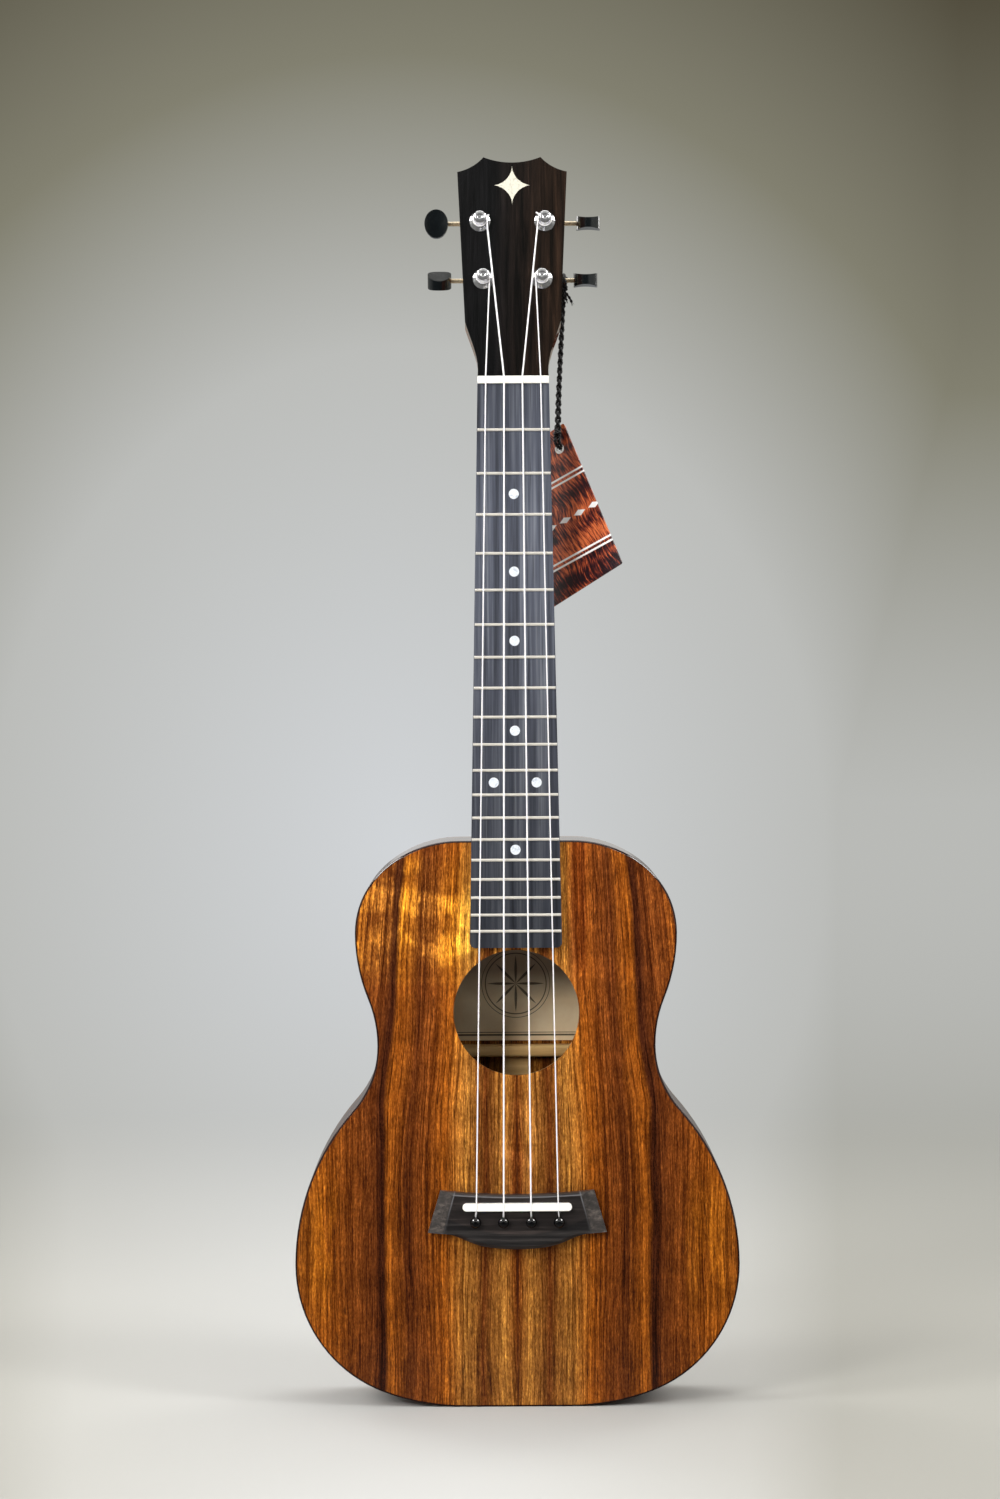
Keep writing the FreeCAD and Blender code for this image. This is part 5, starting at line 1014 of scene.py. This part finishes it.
def make_hitch():
    """The cord's hitch on the tuner's shaft, with its small knot and its frayed ends."""
    low, high = corners(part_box("tag_hitch"))
    shaft = Vector(joints["button_turn_a"]["pos_m"])
    middle = Vector(((low.x + high.x) / 2 - HITCH_SHIFT, shaft.y, shaft.z))
    turn_radius = (high.y - low.y) / 2 - CORD_DIAMETER / 2
    start = Vector(CORD_ROUTE[0])
    mesh = bmesh.new()
    coil = ring_points(middle, Vector((1, 0, 0)), turn_radius, HITCH_TURNS, HITCH_RISE)
    add_twine(mesh, coil, CORD_DIAMETER * HITCH_THICK)
    small_knot = ring_points(start + Vector(SMALL_KNOT_SHIFT), Vector(SMALL_KNOT_AXIS).normalized(),
                             SMALL_KNOT_RADIUS, SMALL_KNOT_TURNS, SMALL_KNOT_RISE)
    add_twine(mesh, small_knot, CORD_DIAMETER * SMALL_KNOT_THICK)
    for lean, drop in ENDS:
        add_frayed_end(mesh, start, lean, drop)
    hitch = finished(mesh, "cord_hitch", cord_black)
    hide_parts("tag_hitch")
    return hitch


def make_knot():
    """The overhand knot behind the card, and the collar of both legs where they come out of its hole."""
    low, high = corners(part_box("tag_knot"))
    middle = (low + high) / 2
    ahead = (Vector(CORD_ROUTE[-1]) - Vector(CORD_ROUTE[-2])).normalized()
    side = ahead.orthogonal().normalized()
    over = ahead.cross(side)
    points = []
    for index in range(OVERHAND_STEPS + 1):
        t = 2 * math.pi * index / OVERHAND_STEPS
        x, y = math.sin(t) + 2 * math.sin(2 * t), math.cos(t) - 2 * math.cos(2 * t)
        flat = middle + (side * x + over * y) * OVERHAND_WIDE
        points.append(flat - ahead * math.sin(3 * t) * OVERHAND_DEEP)
    mesh = bmesh.new()
    add_twine(mesh, points, CORD_DIAMETER * OVERHAND_THICK, CORD_PITCH * 0.8, THIN_SIDES)
    place = Vector(CORD_ROUTE[-3]).lerp(Vector(CORD_ROUTE[-2]), COLLAR_PLACE)
    collar = ring_points(place, Vector(COLLAR_AXIS).normalized(), COLLAR_RADIUS, COLLAR_TURNS, COLLAR_RISE)
    add_twine(mesh, collar, LEG_DIAMETER, LEG_TWINE_PITCH, THIN_SIDES)
    knot = finished(mesh, "cord_knot", cord_black)
    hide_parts("tag_knot")
    return knot


def make_cord():
    """The twine from the tuner's shaft to the card, with its hitch and its knot."""
    line = smooth_line("cord_line", CORD_ROUTE)
    mesh = bmesh.new()
    add_legs(mesh, line)
    twine = finished(mesh, "twine", cord_black)
    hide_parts("tag_cord")
    hitch = make_hitch()
    knot = make_knot()


make_cord()


# ---------------------------------------------------------------- strings and posts at the headstock
STRING_RADII = {"g": 0.36 * MM, "c": 0.46 * MM, "e": 0.42 * MM, "a": 0.34 * MM}
STRING_SIDES = 12
WRAP_TURNS, WRAP_STEPS = 1.5, 56
WRAP_LEAD = 0.15
# Where the string's last straight bit has its points, as shares of it. It starts inside the CAD string
LEAD_SHARES = (-0.2, 0.0, 0.5, 1.0)
# Cut ends: how far each reaches from its post's axis, and the way it points, anticlockwise from the right
TAILS = {"g": (3.9 * MM, 20), "c": (5.3 * MM, 18), "e": (5.6 * MM, 147), "a": (3.9 * MM, 160)}
TAIL_OVER_STRING, TAIL_RISE, TAIL_START = 1.7 * MM, 0.15, 0.6
TAIL_SHARES = (0.0, 0.35, 0.7, 1.0)
# A post cap's radii and heights, in mm
CAP_PROFILE = ((3.26, -1.50), (3.26, -0.25), (3.12, 0.02), (2.75, 0.22), (2.2, 0.36), (1.55, 0.42),
               (1.25, 0.34), (1.10, 0.12), (0.95, -0.02), (0.55, 0.04), (0.02, 0.08))
CAP_SIDES = 40


def string_end(name):
    """The end of a CAD string at its post: the middle of its last ring of points."""
    points = [vertex.co for vertex in nodes[f"string_{name}"].data.vertices]
    highest = max(point.z for point in points)
    last = [point for point in points if point.z > highest - STRING_RADII[name]]
    return sum(last, Vector()) / len(last)


def make_winding(name):
    """The last straight bit of a string, its turns round the post and its cut end."""
    radius = STRING_RADII[name]
    low, high = corners(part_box(f"string_winding_{name}"))
    out = Vector(joints[f"post_turn_{name}"]["axis"]).normalized()
    right = Vector((1, 0, 0))
    up = out.cross(right)
    middle = (low + high) / 2 + out * radius
    coil = (high.x - low.x) / 2 - radius
    way = 1 if middle.x < 0 else -1
    end = string_end(name)
    off = end - middle
    angle = math.atan2(off.dot(up), off.dot(right))
    meet = angle + way * math.acos(coil / math.hypot(off.dot(up), off.dot(right)))

    def at(turned_by, deep, reach=coil):
        """The point at an angle round the post, so deep down it and so far from its axis."""
        return middle + around(right, up, turned_by) * reach - out * deep

    mesh = bmesh.new()
    sweep(mesh, [end.lerp(at(meet, 0), share) for share in LEAD_SHARES], radius, STRING_SIDES)
    finished(mesh, f"string_lead_{name}", nylon)
    turns = []
    for index in range(WRAP_STEPS + 1):
        share = index / WRAP_STEPS
        wound = 2 * math.pi * WRAP_TURNS * share
        turns.append(at(meet + way * (wound - WRAP_LEAD), 2 * radius * WRAP_TURNS * share))
    mesh = bmesh.new()
    sweep(mesh, turns, radius, STRING_SIDES)
    reach, degrees = TAILS[name]
    turned_by, first = math.radians(degrees), coil * TAIL_START
    tail = [at(turned_by, -TAIL_OVER_STRING * (1 + TAIL_RISE * share), first + (reach - first) * share)
            for share in TAIL_SHARES]
    sweep(mesh, tail, radius, STRING_SIDES)
    wrap = finished(mesh, f"string_wrap_{name}", nylon, f"post_{name}")
    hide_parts(f"string_winding_{name}")


def make_cap(name):
    """The domed, dimpled top of a tuner post."""
    joint = joints[f"post_turn_{name}"]
    axis, foot = Vector(joint["axis"]).normalized(), Vector(joint["pos_m"])
    points = [vertex.co for vertex in nodes[f"tuner_post_{name}"].data.vertices]
    top = foot + axis * max((point - foot).dot(axis) for point in points)
    mesh = bmesh.new()
    turned(mesh, top, axis, [(radius * MM, high * MM) for radius, high in CAP_PROFILE], CAP_SIDES)
    finished(mesh, f"post_cap_{name}", chrome, f"post_{name}")


for name in STRING_NAMES:
    make_winding(name)
    make_cap(name)
